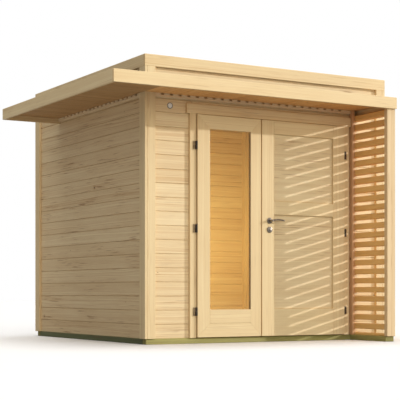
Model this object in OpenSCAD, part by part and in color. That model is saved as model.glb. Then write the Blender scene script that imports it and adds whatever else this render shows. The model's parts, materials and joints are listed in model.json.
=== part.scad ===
// Flat-roofed timber garden house with a two-leaf door, an L-shaped canopy on
// the front and the left side, and a slatted screen that carries the canopy's
// right end. Millimetres, +Z up, the front faces -Y. The origin is the centre
// of the whole footprint, canopy included, at ground level.

/* [House] */
// Width over the corner boards
house_w = 2360; // [2200:10:2800]
// Depth over the corner boards
house_d = 2224; // [1900:4:2600]
// Total height
house_h = 2260; // [2100:5:2500]
// Height from the top of the wall boards to the top of the house
attic_h = 329; // [300:1:370]
// Height of the treated bearers
base_h = 44; // [40:1:60]
// How far the bearers stand back from the corner boards
base_inset = 18; // [10:1:22]
// Width of a bearer
bearer_w = 58; // [45:1:80]
// Number of cross bearers
bearer_count = 5; // [3:1:6]
// Thickness of the wall boards
wall_t = 28; // [19:1:34]
// Boards in a wall's height
board_count = 17; // [15:1:19]
// Depth of the groove between boards
groove_depth = 3; // [2:0.5:5]
// Width of the groove between boards
groove_h = 6; // [4:1:8]
// Thickness of corner boards, casings and attic fascias
trim_t = 23; // [20:1:26]
// Width of a corner board
trim_w = 94; // [80:1:110]
// Width of the posts inside the corners
inner_post_w = 58; // [45:1:70]
// Thickness of the floor boards
floor_t = 19; // [16:1:26]
// Width of a floor board
floor_board_w = 96; // [80:1:130]

/* [Doors] */
// Left edge of the left leaf, from the house's left face
leaves_x = 463; // [440:1:480]
// Width of the left, glazed leaf
left_leaf_w = 598; // [500:1:700]
// Gap between the two leaves
leaf_gap = 10; // [7:0.5:12]
// Running gap round the leaves
door_gap = 5; // [5:0.5:6]
// Thickness of a leaf
leaf_t = 40; // [36:1:44]
// How far a leaf stands proud of the casing
leaf_proud = 17; // [10:1:20]
// Hinge stile of the glazed leaf
hinge_stile_w = 114; // [100:1:120]
// Closing stile of the glazed leaf
close_stile_w = 99; // [90:1:110]
// Rails of both leaves, and the kick board
rail_w = 110; // [90:1:120]
// Stiles of the panelled leaf
panel_stile_w = 120; // [110:1:130]
// Height of the middle rail's underside above the leaf's lower edge
mid_rail_z = 998; // [900:1:1050]
// Thickness of the glass
glass_t = 4; // [4:1:6]
// How far the glass lies behind the leaf's face
glass_recess = 14; // [10:1:18]
// Thickness of a door panel
panel_t = 14; // [10:1:16]
// How far a panel lies behind the leaf's face
panel_recess = 16; // [10:1:18]
// Depth of the groove or rebate that holds glass and panels
groove_w = 10; // [8:1:14]
// Visible width of the door casing
casing_w = 56; // [50:1:64]
// How far the header runs past the casing
header_lug = 27; // [20:1:32]
// Height of the header board
header_h = 77; // [70:1:90]
// Distance from the header up to the top of the wall boards
header_drop = 28; // [14:1:34]
// Thickness of the door lining
lining_t = 30; // [24:1:34]
// How far the stops reach behind the leaves
stop_w = 20; // [16:1:26]
// Height of the door sill
sill_h = 20; // [16:1:22]

/* [Hinges] */
// Radius of a hinge knuckle
knuckle_r = 8; // [7:0.5:9]
// Radius of a hinge pin
pin_r = 3.5; // [3:0.25:4]
// Height of a hinge
hinge_h = 66; // [56:1:80]
// Distance of the pin from the leaf's edge
pin_edge = 8.5; // [8:0.5:10]
// Thickness of a hinge plate
strap_t = 3; // [2:0.5:4]
// Width of a hinge plate, from the pin
strap_w = 26; // [20:1:28]
// Clearance between a knuckle and the plate behind it
knuckle_gap = 1; // [0.5:0.25:2]
// Height of the lowest hinge's centre above the leaf's lower edge
hinge_low = 205; // [160:1:260]
// Distance of the highest hinge's centre from the leaf's upper edge
hinge_high = 245; // [180:1:280]

/* [Handle] */
// Distance of the handle from the closing edge
backset = 72; // [60:1:80]
// Height of the lever above the leaf's lower edge
lever_z = 946; // [900:1:990]
// Distance from the lever to the lock cylinder
lock_drop = 74; // [70:1:92]
// Radius of the round plates
rose_r = 25; // [22:0.5:27]
// Thickness of the round plates
rose_t = 8; // [5:0.5:10]
// How far the lock cylinder stands out of its plate
nose_out = 3; // [2:0.5:5]
// Radius of the lever's bar
lever_r = 8; // [7:0.5:9]
// Length of the lever
lever_len = 122; // [100:1:135]
// Rise of the lever's arch
lever_rise = 7; // [4:0.5:10]
// Distance from the round plate to the lever's axis
lever_out = 38; // [32:1:45]
// Radius of the neck
neck_r = 9; // [8:0.5:10]
// Radius of the spindle
spindle_r = 4.5; // [4:0.25:5]

/* [Canopy] */
// Overhang of the canopy in front
canopy_front = 508; // [400:2:600]
// Overhang of the canopy on the left
canopy_left = 516; // [400:2:600]
// Distance of the left canopy's rear end from the back of the house
canopy_back = 509; // [300:1:700]
// Height of the canopy's fascia
fascia_h = 94; // [85:1:110]
// Thickness of the canopy's fascia
fascia_t = 20; // [16:1:24]
// How far the fascia hangs below the canopy's boards
fascia_drop = 45; // [35:1:55]
// Thickness of the canopy's boards
soffit_t = 18; // [14:1:22]
// Width of a canopy board
soffit_board_w = 96; // [80:1:130]
// Height of the vent comb under the canopy
comb_h = 28; // [24:1:34]
// Distance from the top of the wall boards up to the vent comb
comb_lift = 6; // [4:1:10]
// Thickness of the vent comb
comb_t = 20; // [14:1:22]
// Distance from one tooth of the comb to the next
comb_pitch = 78; // [66:1:90]
// Width of a tooth
tooth_w = 50; // [44:1:56]
// Height of the comb's back
comb_back = 15; // [12:1:18]
// How far the canopy's end fascia stands proud of the screen
end_proud = 1; // [0.5:0.5:3]

/* [Screen] */
// Distance of the screen from the house's right face
screen_inset = 283; // [220:1:310]
// Gap between the door casing and the screen's wall batten
screen_gap = 19; // [10:1:30]
// Width of the post
post_w = 85; // [80:1:95]
// Depth of the post
post_t = 40; // [34:1:50]
// Width of a slat, across the screen
slat_w = 62; // [50:1:64]
// Height of a slat
slat_h = 46.4; // [40:0.2:52]
// Number of full slats
slat_count = 24; // [18:1:26]
// Height of the sill slat
sill_slat_h = 22; // [18:1:26]
// Width of the wall batten
batten_w = 25; // [22:1:27]
// How far the batten and the slats' bed reach in front of the wall boards
batten_d = 45; // [35:1:55]

/* [Roof] */
// Height of the attic fascia
top_fascia_h = 93; // [80:1:105]
// How far the attic's boards stay below the top
attic_drop = 15; // [8:1:25]
// Depth of the roof surface below the top
roof_drop = 88; // [80:1:110]
// Height of a roof beam
beam_h = 95; // [80:1:110]
// Width of a roof beam
beam_w = 45; // [38:1:60]
// Number of roof beams
beam_count = 5; // [4:1:6]
// Thickness of the roofing felt
felt_t = 3; // [2:0.5:5]

/* [Badge] */
// Radius of the round plate beside the header
badge_r = 24; // [18:1:28]
// Thickness of the round plate
badge_t = 4; // [3:0.5:6]
// Distance of the plate from the house's left face
badge_x = 233; // [160:1:300]

/* [Fits] */
// Seat clearance between pieces that sit in one another
fit = 0.3; // [0.2:0.05:0.5]
// Radial clearance of pins and spindle
pin_fit = 0.05; // [0.03:0.01:0.08]

/* [Hidden] */
round_fn = 64;
over = 1;

wall_out = trim_t;
wall_in = trim_t + wall_t;
wall_top = house_h - attic_h;
board_h = (wall_top - base_h) / board_count;
comb_z = wall_top + comb_lift;
soffit_z = comb_z + comb_h;
fascia_z = soffit_z - fascia_drop;
canopy_end_y = house_d - canopy_back;
screen_x = house_w - screen_inset - post_w;
slat_x = screen_x + post_w - slat_w;
batten_x = slat_x - batten_w;
canopy_end_x = screen_x + post_w + end_proud;
top_fascia_z = house_h - top_fascia_h;
attic_top = house_h - attic_drop;
roof_z = house_h - roof_drop;
beam_z = roof_z - soffit_t - beam_h;

leaf_y = -leaf_proud;
leaf_back = leaf_y + leaf_t;
leaf_z = base_h + door_gap;
frame_top = wall_top - header_drop - header_h;
leaf_top = frame_top - door_gap;
frame_end = batten_x - screen_gap - casing_w;
leaves_end = frame_end - door_gap;
left_leaf_x = leaves_x;
right_leaf_x = leaves_x + left_leaf_w + leaf_gap;
frame_x = leaves_x - door_gap;
stop_y = leaf_back + door_gap;

glass_y = leaf_y + glass_recess;
glass_x = [left_leaf_x + hinge_stile_w, left_leaf_x + left_leaf_w - close_stile_w];
glass_z = [leaf_z + 2 * rail_w, leaf_top - rail_w];
panel_y = leaf_y + panel_recess;
panel_x = [right_leaf_x + panel_stile_w, leaves_end - panel_stile_w];
low_panel_z = [leaf_z + 2 * rail_w, leaf_z + mid_rail_z];
high_panel_z = [leaf_z + mid_rail_z + rail_w, leaf_top - rail_w];

pin_y = -strap_t - knuckle_gap - knuckle_r;
left_pin_x = left_leaf_x - pin_edge;
right_pin_x = leaves_end + pin_edge;
hinge_zs = [leaf_z + hinge_low, (leaf_z + hinge_low + leaf_top - hinge_high) / 2, leaf_top - hinge_high];

lever_x = right_leaf_x + backset;
lever_axis_z = leaf_z + lever_z;
lever_arc_r = (lever_len * lever_len / 4 + lever_rise * lever_rise) / (2 * lever_rise);
lever_arc_a = asin(lever_len / 2 / lever_arc_r);

post_y = -canopy_front + fascia_t;
slat_start = base_h + sill_slat_h;
slat_pitch = (fascia_z - fit - slat_start) / slat_count;

// Moves the house from its front left corner to the centre of the footprint
module placed() {
    translate([-(house_w - canopy_left) / 2, -(house_d - canopy_front) / 2, 0]) children();
}

// A box given by its lowest and highest value along each axis
module block(x, y, z) {
    translate([x[0], y[0], z[0]]) cube([x[1] - x[0], y[1] - y[0], z[1] - z[0]]);
}

// A round bar along Y
module bar_y(x, y, z, r) {
    translate([x, y[0], z]) rotate([-90, 0, 0]) cylinder(h = y[1] - y[0], r = r, $fn = round_fn);
}

// Section of a stack of wall boards from z0 to z1: x is the depth from the
// outer face, y the height, with a V groove wherever two boards meet
function board_outline(z0, z1) = concat(
    [[wall_t, z0], [0, z0]],
    [for (i = [1 : ceil((z1 - z0) / board_h) - 1])
        each [[0, z0 + i * board_h - groove_h / 2], [groove_depth, z0 + i * board_h],
              [0, z0 + i * board_h + groove_h / 2]]],
    [[0, z1], [wall_t, z1]]
);

// Grooves between boards that lie side by side along Y, cut upward into a face at z = 0
module groove_row(x, y, board_w) {
    count = round((y[1] - y[0]) / board_w);
    for (i = [1 : count - 1])
        translate([x[0] - over, y[0] + i * (y[1] - y[0]) / count, 0]) rotate([90, 0, 90])
            linear_extrude(x[1] - x[0] + 2 * over)
                polygon([[-groove_h, -groove_depth], [groove_h, -groove_depth], [0, groove_depth]]);
}

// A boarded wall across the front
module front_boards(x, z) {
    translate([x[0], wall_out, 0]) rotate([90, 0, 90])
        linear_extrude(x[1] - x[0]) polygon(board_outline(z[0], z[1]));
}

// A boarded wall along the left side
module side_boards(z) {
    translate([wall_out, house_d - wall_out, 0]) rotate([90, 0, 0])
        linear_extrude(house_d - 2 * wall_out) polygon(board_outline(z[0], z[1]));
}

// Mirrors a piece of the front half of the house's depth to the back
module on_back() {
    translate([0, house_d, 0]) mirror([0, 1, 0]) children();
}

// Mirrors a piece of the left half of the house's width to the right
module on_right() {
    translate([house_w, 0, 0]) mirror([1, 0, 0]) children();
}

// A piece on the left and its mirror image on the right
module mirrored_x() {
    children();
    on_right() children();
}

module base_long_beams() {
    placed() color("darkkhaki")
        for (y = [base_inset, house_d - base_inset - bearer_w])
            block([base_inset, house_w - base_inset], [y, y + bearer_w], [0, base_h]);
}

module base_cross_beams() {
    step = (house_w - 2 * base_inset - bearer_w) / (bearer_count - 1);
    placed() color("darkkhaki")
        for (i = [0 : bearer_count - 1])
            block([base_inset + i * step, base_inset + i * step + bearer_w],
                  [base_inset + bearer_w, house_d - base_inset - bearer_w], [0, base_h]);
}

module screen_bearer() {
    placed() color("darkkhaki")
        block([screen_x, screen_x + post_w], [post_y + fascia_t, base_inset], [0, base_h]);
}

module floor_boards() {
    x = [wall_in, house_w - wall_in];
    y = [wall_in, house_d - wall_in];
    placed() color("burlywood")
        difference() {
            block(x, y, [base_h, base_h + floor_t]);
            translate([0, 0, base_h + floor_t]) mirror([0, 0, 1]) groove_row(x, y, floor_board_w);
        }
}

module left_wall() {
    placed() color("wheat") side_boards([base_h, wall_top]);
}

module right_wall() {
    placed() color("wheat") on_right() side_boards([base_h, wall_top]);
}

module back_wall() {
    placed() color("wheat") on_back() front_boards([wall_in, house_w - wall_in], [base_h, wall_top]);
}

module front_wall_left() {
    placed() color("wheat") front_boards([wall_in, frame_x - lining_t], [base_h, wall_top]);
}

module front_wall_right() {
    placed() color("wheat") front_boards([frame_end + lining_t, house_w - wall_in], [base_h, wall_top]);
}

module front_wall_top() {
    placed() color("wheat")
        block([frame_x - lining_t, frame_end + lining_t], [wall_out, wall_in],
              [frame_top + lining_t, wall_top]);
}

// Section of a corner: two boards that lap at the edge
module corner_section() {
    square([trim_t, trim_w]);
    square([trim_w, trim_t]);
}

module corner_post() {
    translate([0, 0, base_h]) linear_extrude(top_fascia_z - base_h) corner_section();
}

// The square post inside a corner, from the floor to the roof deck
module inner_post() {
    block([wall_in, wall_in + inner_post_w], [wall_in, wall_in + inner_post_w],
          [base_h + floor_t, roof_z - soffit_t]);
}

module front_corners() {
    placed() color("navajowhite")
        mirrored_x() {
            corner_post();
            inner_post();
        }
}

module back_corners() {
    placed() color("navajowhite")
        on_back() mirrored_x() {
            corner_post();
            inner_post();
        }
}

module casing_sides() {
    placed() color("navajowhite") {
        block([frame_x - casing_w, frame_x], [0, wall_out], [base_h, frame_top]);
        block([frame_end, frame_end + casing_w], [0, wall_out], [base_h, frame_top]);
    }
}

module door_header() {
    placed() color("navajowhite")
        block([frame_x - casing_w - header_lug, batten_x - fit], [0, wall_out],
              [frame_top, frame_top + header_h]);
}

module door_jambs() {
    placed() color("tan") {
        block([frame_x - lining_t, frame_x], [wall_out, wall_in], [base_h, frame_top]);
        block([frame_x - over, frame_x + stop_w], [stop_y, wall_in], [base_h + sill_h, frame_top]);
        block([frame_end, frame_end + lining_t], [wall_out, wall_in], [base_h, frame_top]);
        block([frame_end - stop_w, frame_end + over], [stop_y, wall_in], [base_h + sill_h, frame_top]);
    }
}

module door_head() {
    placed() color("tan") {
        block([frame_x - lining_t, frame_end + lining_t], [wall_out, wall_in],
              [frame_top, frame_top + lining_t]);
        block([frame_x + stop_w, frame_end - stop_w], [stop_y, wall_in],
              [frame_top - stop_w, frame_top + over]);
    }
}

module door_sill() {
    placed() color("tan")
        block([frame_x, frame_end], [stop_y, wall_in], [base_h, base_h + sill_h]);
}

// The frame's half of a hinge at the left casing: knuckle, pin and web below, and
// a plate on the casing's face that runs up behind the leaf's knuckle
module frame_hinge(z) {
    half = hinge_h / 2;
    translate([left_pin_x, pin_y, z - half]) {
        cylinder(h = half - fit, r = knuckle_r, $fn = round_fn);
        cylinder(h = hinge_h - strap_t, r = pin_r, $fn = round_fn);
    }
    block([left_pin_x - knuckle_r, left_pin_x], [pin_y, 0], [z - half, z - fit]);
    block([left_pin_x - strap_w, left_pin_x], [-strap_t, 0], [z - half, z + half]);
}

// The leaf's half of a hinge on the left leaf: bored knuckle, and a plate on the leaf's edge
module leaf_hinge(z) {
    half = hinge_h / 2;
    difference() {
        union() {
            translate([left_pin_x, pin_y, z]) cylinder(h = half, r = knuckle_r, $fn = round_fn);
            block([left_leaf_x - strap_t, left_leaf_x], [pin_y, pin_y + strap_w], [z, z + half]);
        }
        translate([left_pin_x, pin_y, z - over])
            cylinder(h = half + over - strap_t + fit, r = pin_r + pin_fit, $fn = round_fn);
    }
}

// Mirrors a hinge from the left leaf's edge to the right leaf's edge
module on_right_edge() {
    translate([left_pin_x + right_pin_x, 0, 0]) mirror([1, 0, 0]) children();
}

module frame_hinges() {
    placed() color("dimgray")
        for (z = hinge_zs) {
            frame_hinge(z);
            on_right_edge() frame_hinge(z);
        }
}

module attic_long_walls() {
    placed() color("wheat") {
        front_boards([wall_in, house_w - wall_in], [wall_top, attic_top]);
        on_back() front_boards([wall_in, house_w - wall_in], [wall_top, attic_top]);
    }
}

module attic_side_walls() {
    placed() color("wheat") mirrored_x() side_boards([wall_top, attic_top]);
}

module top_fascia_long() {
    placed() color("navajowhite")
        for (y = [0, house_d - trim_t])
            block([0, house_w], [y, y + trim_t], [top_fascia_z, house_h]);
}

module top_fascia_side() {
    placed() color("navajowhite")
        mirrored_x() block([0, trim_t], [trim_t, house_d - trim_t], [top_fascia_z, house_h]);
}

module roof_beams() {
    step = (house_d - 2 * wall_in - beam_w) / (beam_count + 1);
    placed() color("burlywood")
        for (i = [1 : beam_count])
            block([wall_in, house_w - wall_in], [wall_in + i * step, wall_in + i * step + beam_w],
                  [beam_z, beam_z + beam_h]);
}

module roof_deck() {
    placed() color("burlywood")
        block([wall_in, house_w - wall_in], [wall_in, house_d - wall_in], [roof_z - soffit_t, roof_z]);
}

// Outline of the front canopy's boards, cut round the corner board
front_canopy_outline = [
    [0, post_y], [canopy_end_x - fascia_t, post_y], [canopy_end_x - fascia_t, wall_out],
    [trim_w + fit, wall_out], [trim_w + fit, -fit], [0, -fit]
];

// Outline of the left canopy's boards, cut round the corner board
left_canopy_outline = [
    [-canopy_left + fascia_t, post_y], [0, post_y], [0, -fit], [-fit, -fit], [-fit, trim_w + fit],
    [wall_out, trim_w + fit], [wall_out, canopy_end_y - fascia_t],
    [-canopy_left + fascia_t, canopy_end_y - fascia_t]
];

module roof_felt() {
    placed() color("dimgray") {
        block([wall_in, house_w - wall_in], [wall_in, house_d - wall_in], [roof_z, roof_z + felt_t]);
        translate([0, 0, soffit_z + soffit_t]) linear_extrude(felt_t) {
            polygon(front_canopy_outline);
            polygon(left_canopy_outline);
        }
    }
}

module canopy_front_boards() {
    placed() color("peru")
        translate([0, 0, soffit_z])
            difference() {
                linear_extrude(soffit_t) polygon(front_canopy_outline);
                mirror([1, -1, 0])
                    groove_row([post_y, wall_out], [0, canopy_end_x - fascia_t], soffit_board_w);
            }
}

module canopy_left_boards() {
    placed() color("peru")
        translate([0, 0, soffit_z])
            difference() {
                linear_extrude(soffit_t) polygon(left_canopy_outline);
                groove_row([-canopy_left + fascia_t, wall_out], [post_y, canopy_end_y - fascia_t],
                           soffit_board_w);
            }
}

module canopy_fascia_front() {
    placed() color("navajowhite")
        block([-canopy_left, canopy_end_x], [-canopy_front, post_y], [fascia_z, fascia_z + fascia_h]);
}

module canopy_fascia_left() {
    placed() color("navajowhite")
        block([-canopy_left, -canopy_left + fascia_t], [post_y, canopy_end_y],
              [fascia_z, fascia_z + fascia_h]);
}

module canopy_fascia_ends() {
    placed() color("navajowhite") {
        block([-canopy_left + fascia_t, wall_out], [canopy_end_y - fascia_t, canopy_end_y],
              [fascia_z, fascia_z + fascia_h]);
        block([canopy_end_x - fascia_t, canopy_end_x], [post_y, wall_out],
              [fascia_z, fascia_z + fascia_h]);
    }
}

// A notched strip of a given length along +X, its teeth pointing up
module comb(length) {
    count = floor((length - tooth_w) / comb_pitch);
    difference() {
        block([0, length], [0, comb_t], [0, comb_h]);
        for (i = [0 : count - 1])
            block([i * comb_pitch + tooth_w, (i + 1) * comb_pitch], [-over, comb_t + over],
                  [comb_back, comb_h + over]);
    }
}

module vent_combs() {
    placed() color("tan") {
        translate([trim_w + fit, wall_out - comb_t, comb_z]) comb(batten_x - trim_w - 2 * fit);
        translate([wall_out, trim_w + fit, comb_z]) rotate([0, 0, 90])
            comb(canopy_end_y - fascia_t - trim_w - 2 * fit);
    }
}

module screen_posts() {
    placed() color("navajowhite") {
        difference() {
            block([screen_x, screen_x + post_w], [post_y, post_y + post_t], [base_h, soffit_z]);
            block([canopy_end_x - fascia_t - fit, canopy_end_x], [post_y - over, post_y + post_t + over],
                  [fascia_z - fit, soffit_z + over]);
        }
        block([batten_x, slat_x], [wall_out - batten_d, wall_out], [base_h, soffit_z]);
    }
}

module slat(z, height) {
    block([slat_x, slat_x + slat_w], [post_y + post_t, wall_out], [z, z + height]);
}

module screen_slats() {
    placed() color("peru") {
        slat(base_h, sill_slat_h);
        for (i = [1 : slat_count]) slat(slat_start + i * slat_pitch - slat_h, slat_h);
    }
}

module badge() {
    placed() color("gainsboro")
        bar_y(badge_x, [wall_out - badge_t, wall_out], wall_top - board_h / 2, badge_r);
}

// A flat leaf member, given by its corners in the door's plane
module member(points) {
    translate([0, leaf_back, 0]) rotate([90, 0, 0]) linear_extrude(leaf_t) polygon(points);
}

// The rebate for glass and beads, open to the room
module glass_rebate() {
    block([glass_x[0] - groove_w, glass_x[1] + groove_w], [glass_y, leaf_back + over],
          [glass_z[0] - groove_w, glass_z[1] + groove_w]);
}

module left_leaf_stiles() {
    x = [left_leaf_x, left_leaf_x + left_leaf_w];
    placed() color("moccasin")
        difference() {
            union() {
                member([[x[0], leaf_z], [glass_x[0], leaf_z + rail_w], [glass_x[0], leaf_top - rail_w],
                        [x[0], leaf_top]]);
                member([[x[1], leaf_z], [x[1], leaf_top], [glass_x[1], leaf_top - rail_w],
                        [glass_x[1], leaf_z + rail_w]]);
            }
            glass_rebate();
        }
}

module left_leaf_rails() {
    x = [left_leaf_x, left_leaf_x + left_leaf_w];
    placed() color("moccasin")
        difference() {
            union() {
                member([[x[0], leaf_z], [x[1], leaf_z], [glass_x[1], leaf_z + rail_w],
                        [glass_x[0], leaf_z + rail_w]]);
                member([[glass_x[0], leaf_z + rail_w + fit], [glass_x[1], leaf_z + rail_w + fit],
                        [glass_x[1], glass_z[0]], [glass_x[0], glass_z[0]]]);
                member([[glass_x[0], glass_z[1]], [glass_x[1], glass_z[1]], [x[1], leaf_top],
                        [x[0], leaf_top]]);
            }
            glass_rebate();
        }
}

module left_leaf_beads() {
    y = glass_y + glass_t + fit;
    edge = groove_w - fit;
    placed() color("moccasin")
        difference() {
            block([glass_x[0] - edge, glass_x[1] + edge], [y, leaf_back],
                  [glass_z[0] - edge, glass_z[1] + edge]);
            block(glass_x, [y - over, leaf_back + over], glass_z);
        }
}

module left_leaf_glass() {
    edge = groove_w - fit;
    placed() color("orange", 0.5)
        block([glass_x[0] - edge, glass_x[1] + edge], [glass_y, glass_y + glass_t],
              [glass_z[0] - edge, glass_z[1] + edge]);
}

module left_leaf_hinges() {
    placed() color("dimgray") for (z = hinge_zs) leaf_hinge(z);
}

// The grooves that hold the panels
module panel_grooves(edge, gap) {
    for (z = [low_panel_z, high_panel_z])
        block([panel_x[0] - edge, panel_x[1] + edge], [panel_y - gap, panel_y + panel_t + gap],
              [z[0] - edge, z[1] + edge]);
}

module right_leaf_stiles() {
    placed() color("moccasin")
        difference() {
            union() {
                block([right_leaf_x, panel_x[0]], [leaf_y, leaf_back], [leaf_z, leaf_top]);
                block([panel_x[1], leaves_end], [leaf_y, leaf_back], [leaf_z, leaf_top]);
            }
            panel_grooves(groove_w, fit);
            bar_y(lever_x, [leaf_y - over, leaf_back + over], lever_axis_z, spindle_r + pin_fit);
        }
}

module right_leaf_rails() {
    placed() color("moccasin")
        difference() {
            for (z = [[leaf_z, low_panel_z[0]], [low_panel_z[1], high_panel_z[0]],
                      [high_panel_z[1], leaf_top]])
                block(panel_x, [leaf_y, leaf_back], z);
            panel_grooves(groove_w, fit);
        }
}

module right_leaf_panels() {
    placed() color("wheat") panel_grooves(groove_w - fit, 0);
}

module right_leaf_hinges() {
    placed() color("dimgray") for (z = hinge_zs) on_right_edge() leaf_hinge(z);
}

// A round plate on the leaf with a hole for the lever's neck
module lever_rose(y) {
    difference() {
        bar_y(lever_x, y, lever_axis_z, rose_r);
        bar_y(lever_x, [y[0] - over, y[1] + over], lever_axis_z, neck_r + pin_fit);
    }
}

// A round plate with the end of a lock cylinder standing out of it
module lock_rose(y, nose) {
    z = lever_axis_z - lock_drop;
    bar_y(lever_x, y, z, rose_r);
    bar_y(lever_x, nose, z, neck_r);
}

module lock_plates() {
    outside = [leaf_y - rose_t, leaf_y];
    inside = [leaf_back, leaf_back + rose_t];
    placed() color("silver") {
        lever_rose(outside);
        lever_rose(inside);
        lock_rose(outside, [outside[0] - nose_out, leaf_y]);
        lock_rose(inside, [leaf_back, inside[1] + nose_out]);
    }
}

// The arched bar of a lever in the plane y, from the neck's axis outward
module lever_bar(y) {
    translate([lever_x + lever_len / 2, y, lever_axis_z + lever_rise - lever_arc_r])
        rotate([90, 0, 0]) rotate([0, 0, 90 - lever_arc_a])
            rotate_extrude(angle = 2 * lever_arc_a, $fn = round_fn)
                translate([lever_arc_r, 0]) circle(r = lever_r, $fn = round_fn);
}

module lever_handle() {
    outer = leaf_y - rose_t - lever_out;
    inner = leaf_back + rose_t + lever_out;
    placed() color("silver") {
        bar_y(lever_x, [outer - neck_r, leaf_y - fit], lever_axis_z, neck_r);
        bar_y(lever_x, [leaf_back + fit, inner + neck_r], lever_axis_z, neck_r);
        bar_y(lever_x, [leaf_y - rose_t, leaf_back + rose_t], lever_axis_z, spindle_r);
        for (y = [outer, inner]) lever_bar(y);
    }
}

base_long_beams();
base_cross_beams();
screen_bearer();
floor_boards();
left_wall();
right_wall();
back_wall();
front_wall_left();
front_wall_right();
front_wall_top();
front_corners();
back_corners();
casing_sides();
door_header();
door_jambs();
door_head();
door_sill();
frame_hinges();
attic_long_walls();
attic_side_walls();
top_fascia_long();
top_fascia_side();
roof_beams();
roof_deck();
roof_felt();
canopy_front_boards();
canopy_left_boards();
canopy_fascia_front();
canopy_fascia_left();
canopy_fascia_ends();
vent_combs();
screen_posts();
screen_slats();
badge();
left_leaf_stiles();
left_leaf_rails();
left_leaf_beads();
left_leaf_glass();
left_leaf_hinges();
right_leaf_stiles();
right_leaf_rails();
right_leaf_panels();
right_leaf_hinges();
lock_plates();
lever_handle();
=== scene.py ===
# %% [markdown]
# # A flat-roofed timber garden house
# The construction, with every size and joint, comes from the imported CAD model. This file dresses it:
# it swaps each plain wooden solid for the single boards that the carpenter would nail up, gives each
# surface its finish, and sets up a plain studio. Read it cell by cell, from the top.

# %% Load the fixed frame
import json
import math

import bpy
import numpy as np
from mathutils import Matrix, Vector


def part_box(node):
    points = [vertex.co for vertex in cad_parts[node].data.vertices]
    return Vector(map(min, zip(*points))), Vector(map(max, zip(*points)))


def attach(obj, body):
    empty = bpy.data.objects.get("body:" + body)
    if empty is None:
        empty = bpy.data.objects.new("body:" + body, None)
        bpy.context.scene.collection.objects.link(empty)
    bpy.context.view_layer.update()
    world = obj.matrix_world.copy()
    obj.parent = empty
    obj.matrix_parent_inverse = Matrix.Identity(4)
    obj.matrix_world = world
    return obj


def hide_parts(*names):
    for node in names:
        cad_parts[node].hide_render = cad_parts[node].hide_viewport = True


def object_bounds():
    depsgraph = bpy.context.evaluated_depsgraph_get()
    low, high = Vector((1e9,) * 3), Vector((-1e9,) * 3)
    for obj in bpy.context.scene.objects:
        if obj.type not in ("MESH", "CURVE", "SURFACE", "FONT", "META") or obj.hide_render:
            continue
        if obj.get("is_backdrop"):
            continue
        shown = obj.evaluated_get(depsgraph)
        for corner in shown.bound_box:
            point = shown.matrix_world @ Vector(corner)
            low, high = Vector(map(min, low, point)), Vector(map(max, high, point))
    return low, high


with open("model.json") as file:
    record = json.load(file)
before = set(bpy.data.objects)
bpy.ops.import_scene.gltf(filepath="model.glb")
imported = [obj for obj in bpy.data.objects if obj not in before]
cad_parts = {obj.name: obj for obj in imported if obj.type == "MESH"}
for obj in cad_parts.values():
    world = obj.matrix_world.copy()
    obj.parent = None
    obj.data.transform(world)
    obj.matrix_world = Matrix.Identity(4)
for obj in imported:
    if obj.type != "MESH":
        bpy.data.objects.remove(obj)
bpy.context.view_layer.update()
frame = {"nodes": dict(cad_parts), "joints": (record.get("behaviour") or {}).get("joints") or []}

MM = 0.001
scene = bpy.context.scene

# %% [markdown]
# ## Where things are
# Nothing in this file repeats a size that the frame already holds. A CAD node is a mesh at the origin,
# so its box says where the piece is. A node can hold several solids, such as the slats of the screen.
# They are told apart by walking along the edges: points that an edge joins get the same label.

# %% Boxes of nodes and of their solids
def box_of(node):
    """Lowest and highest corner of a CAD node, as two arrays."""
    low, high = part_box(node)
    return np.array(low), np.array(high)


def solids_of(node, order=2):
    """Boxes of the separate solids of a node, sorted along one axis: two arrays of shape (n, 3).

    Points at the same place count as one. Each point starts with its own label and takes the lowest
    label at the far ends of its edges, again and again, until no label changes.
    """
    mesh = frame["nodes"][node].data
    places = np.empty(len(mesh.vertices) * 3, np.float32)
    mesh.vertices.foreach_get("co", places)
    spots, spot_of = np.unique(places.reshape(-1, 3).round(5), axis=0, return_inverse=True)
    ends = np.empty(len(mesh.edges) * 2, np.int32)
    mesh.edges.foreach_get("vertices", ends)
    ends = spot_of.ravel()[ends.reshape(-1, 2)]
    label, settled = np.arange(len(spots)), False
    while not settled:
        lowest = label[ends].min(axis=1)
        spread = label.copy()
        np.minimum.at(spread, ends[:, 0], lowest)
        np.minimum.at(spread, ends[:, 1], lowest)
        settled = (spread == label).all()
        label = spread[spread]
    groups = [spots[label == name] for name in np.unique(label)]
    low = np.array([g.min(axis=0) for g in groups], float)
    high = np.array([g.max(axis=0) for g in groups], float)
    rank = np.argsort(low[:, order], kind="stable")
    return low[rank], high[rank]


HOUSE_LOW = box_of("front_corners")[0]
HOUSE_HIGH = box_of("back_corners")[1]
print("house box", HOUSE_LOW.round(3), HOUSE_HIGH.round(3), "slats", len(solids_of("screen_slats")[0]))

# %% [markdown]
# ## The photographer's place
# The verticals of the picture stand upright, so the camera is level and its lens is shifted up, as an
# architect's camera is. The horizon lies low, at the height of a person's knee, and the long lens
# keeps the two visible sides nearly free of perspective.

# %% Camera
PHOTO_SIDE = 400
FOCAL_PX = 1193.7
HORIZON_PX = 291.7
CAMERA_FROM_CORNER = np.array([-4.268, -8.217, 0.412])
CAMERA_YAW = math.radians(30.09)

camera_data = bpy.data.cameras.new("photo_camera")
camera_data.sensor_width = 36
camera_data.lens = FOCAL_PX / PHOTO_SIDE * camera_data.sensor_width
camera_data.shift_y = (HORIZON_PX - PHOTO_SIDE / 2) / PHOTO_SIDE
camera = bpy.data.objects.new("photo_camera", camera_data)
camera.location = np.array([*HOUSE_LOW[:2], 0]) + CAMERA_FROM_CORNER
camera.rotation_euler = (math.pi / 2, 0, -CAMERA_YAW)
scene.collection.objects.link(camera)
bpy.context.scene.camera = camera
print("lens", round(camera_data.lens, 1), "mm, shift", round(camera_data.shift_y, 3))

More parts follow.
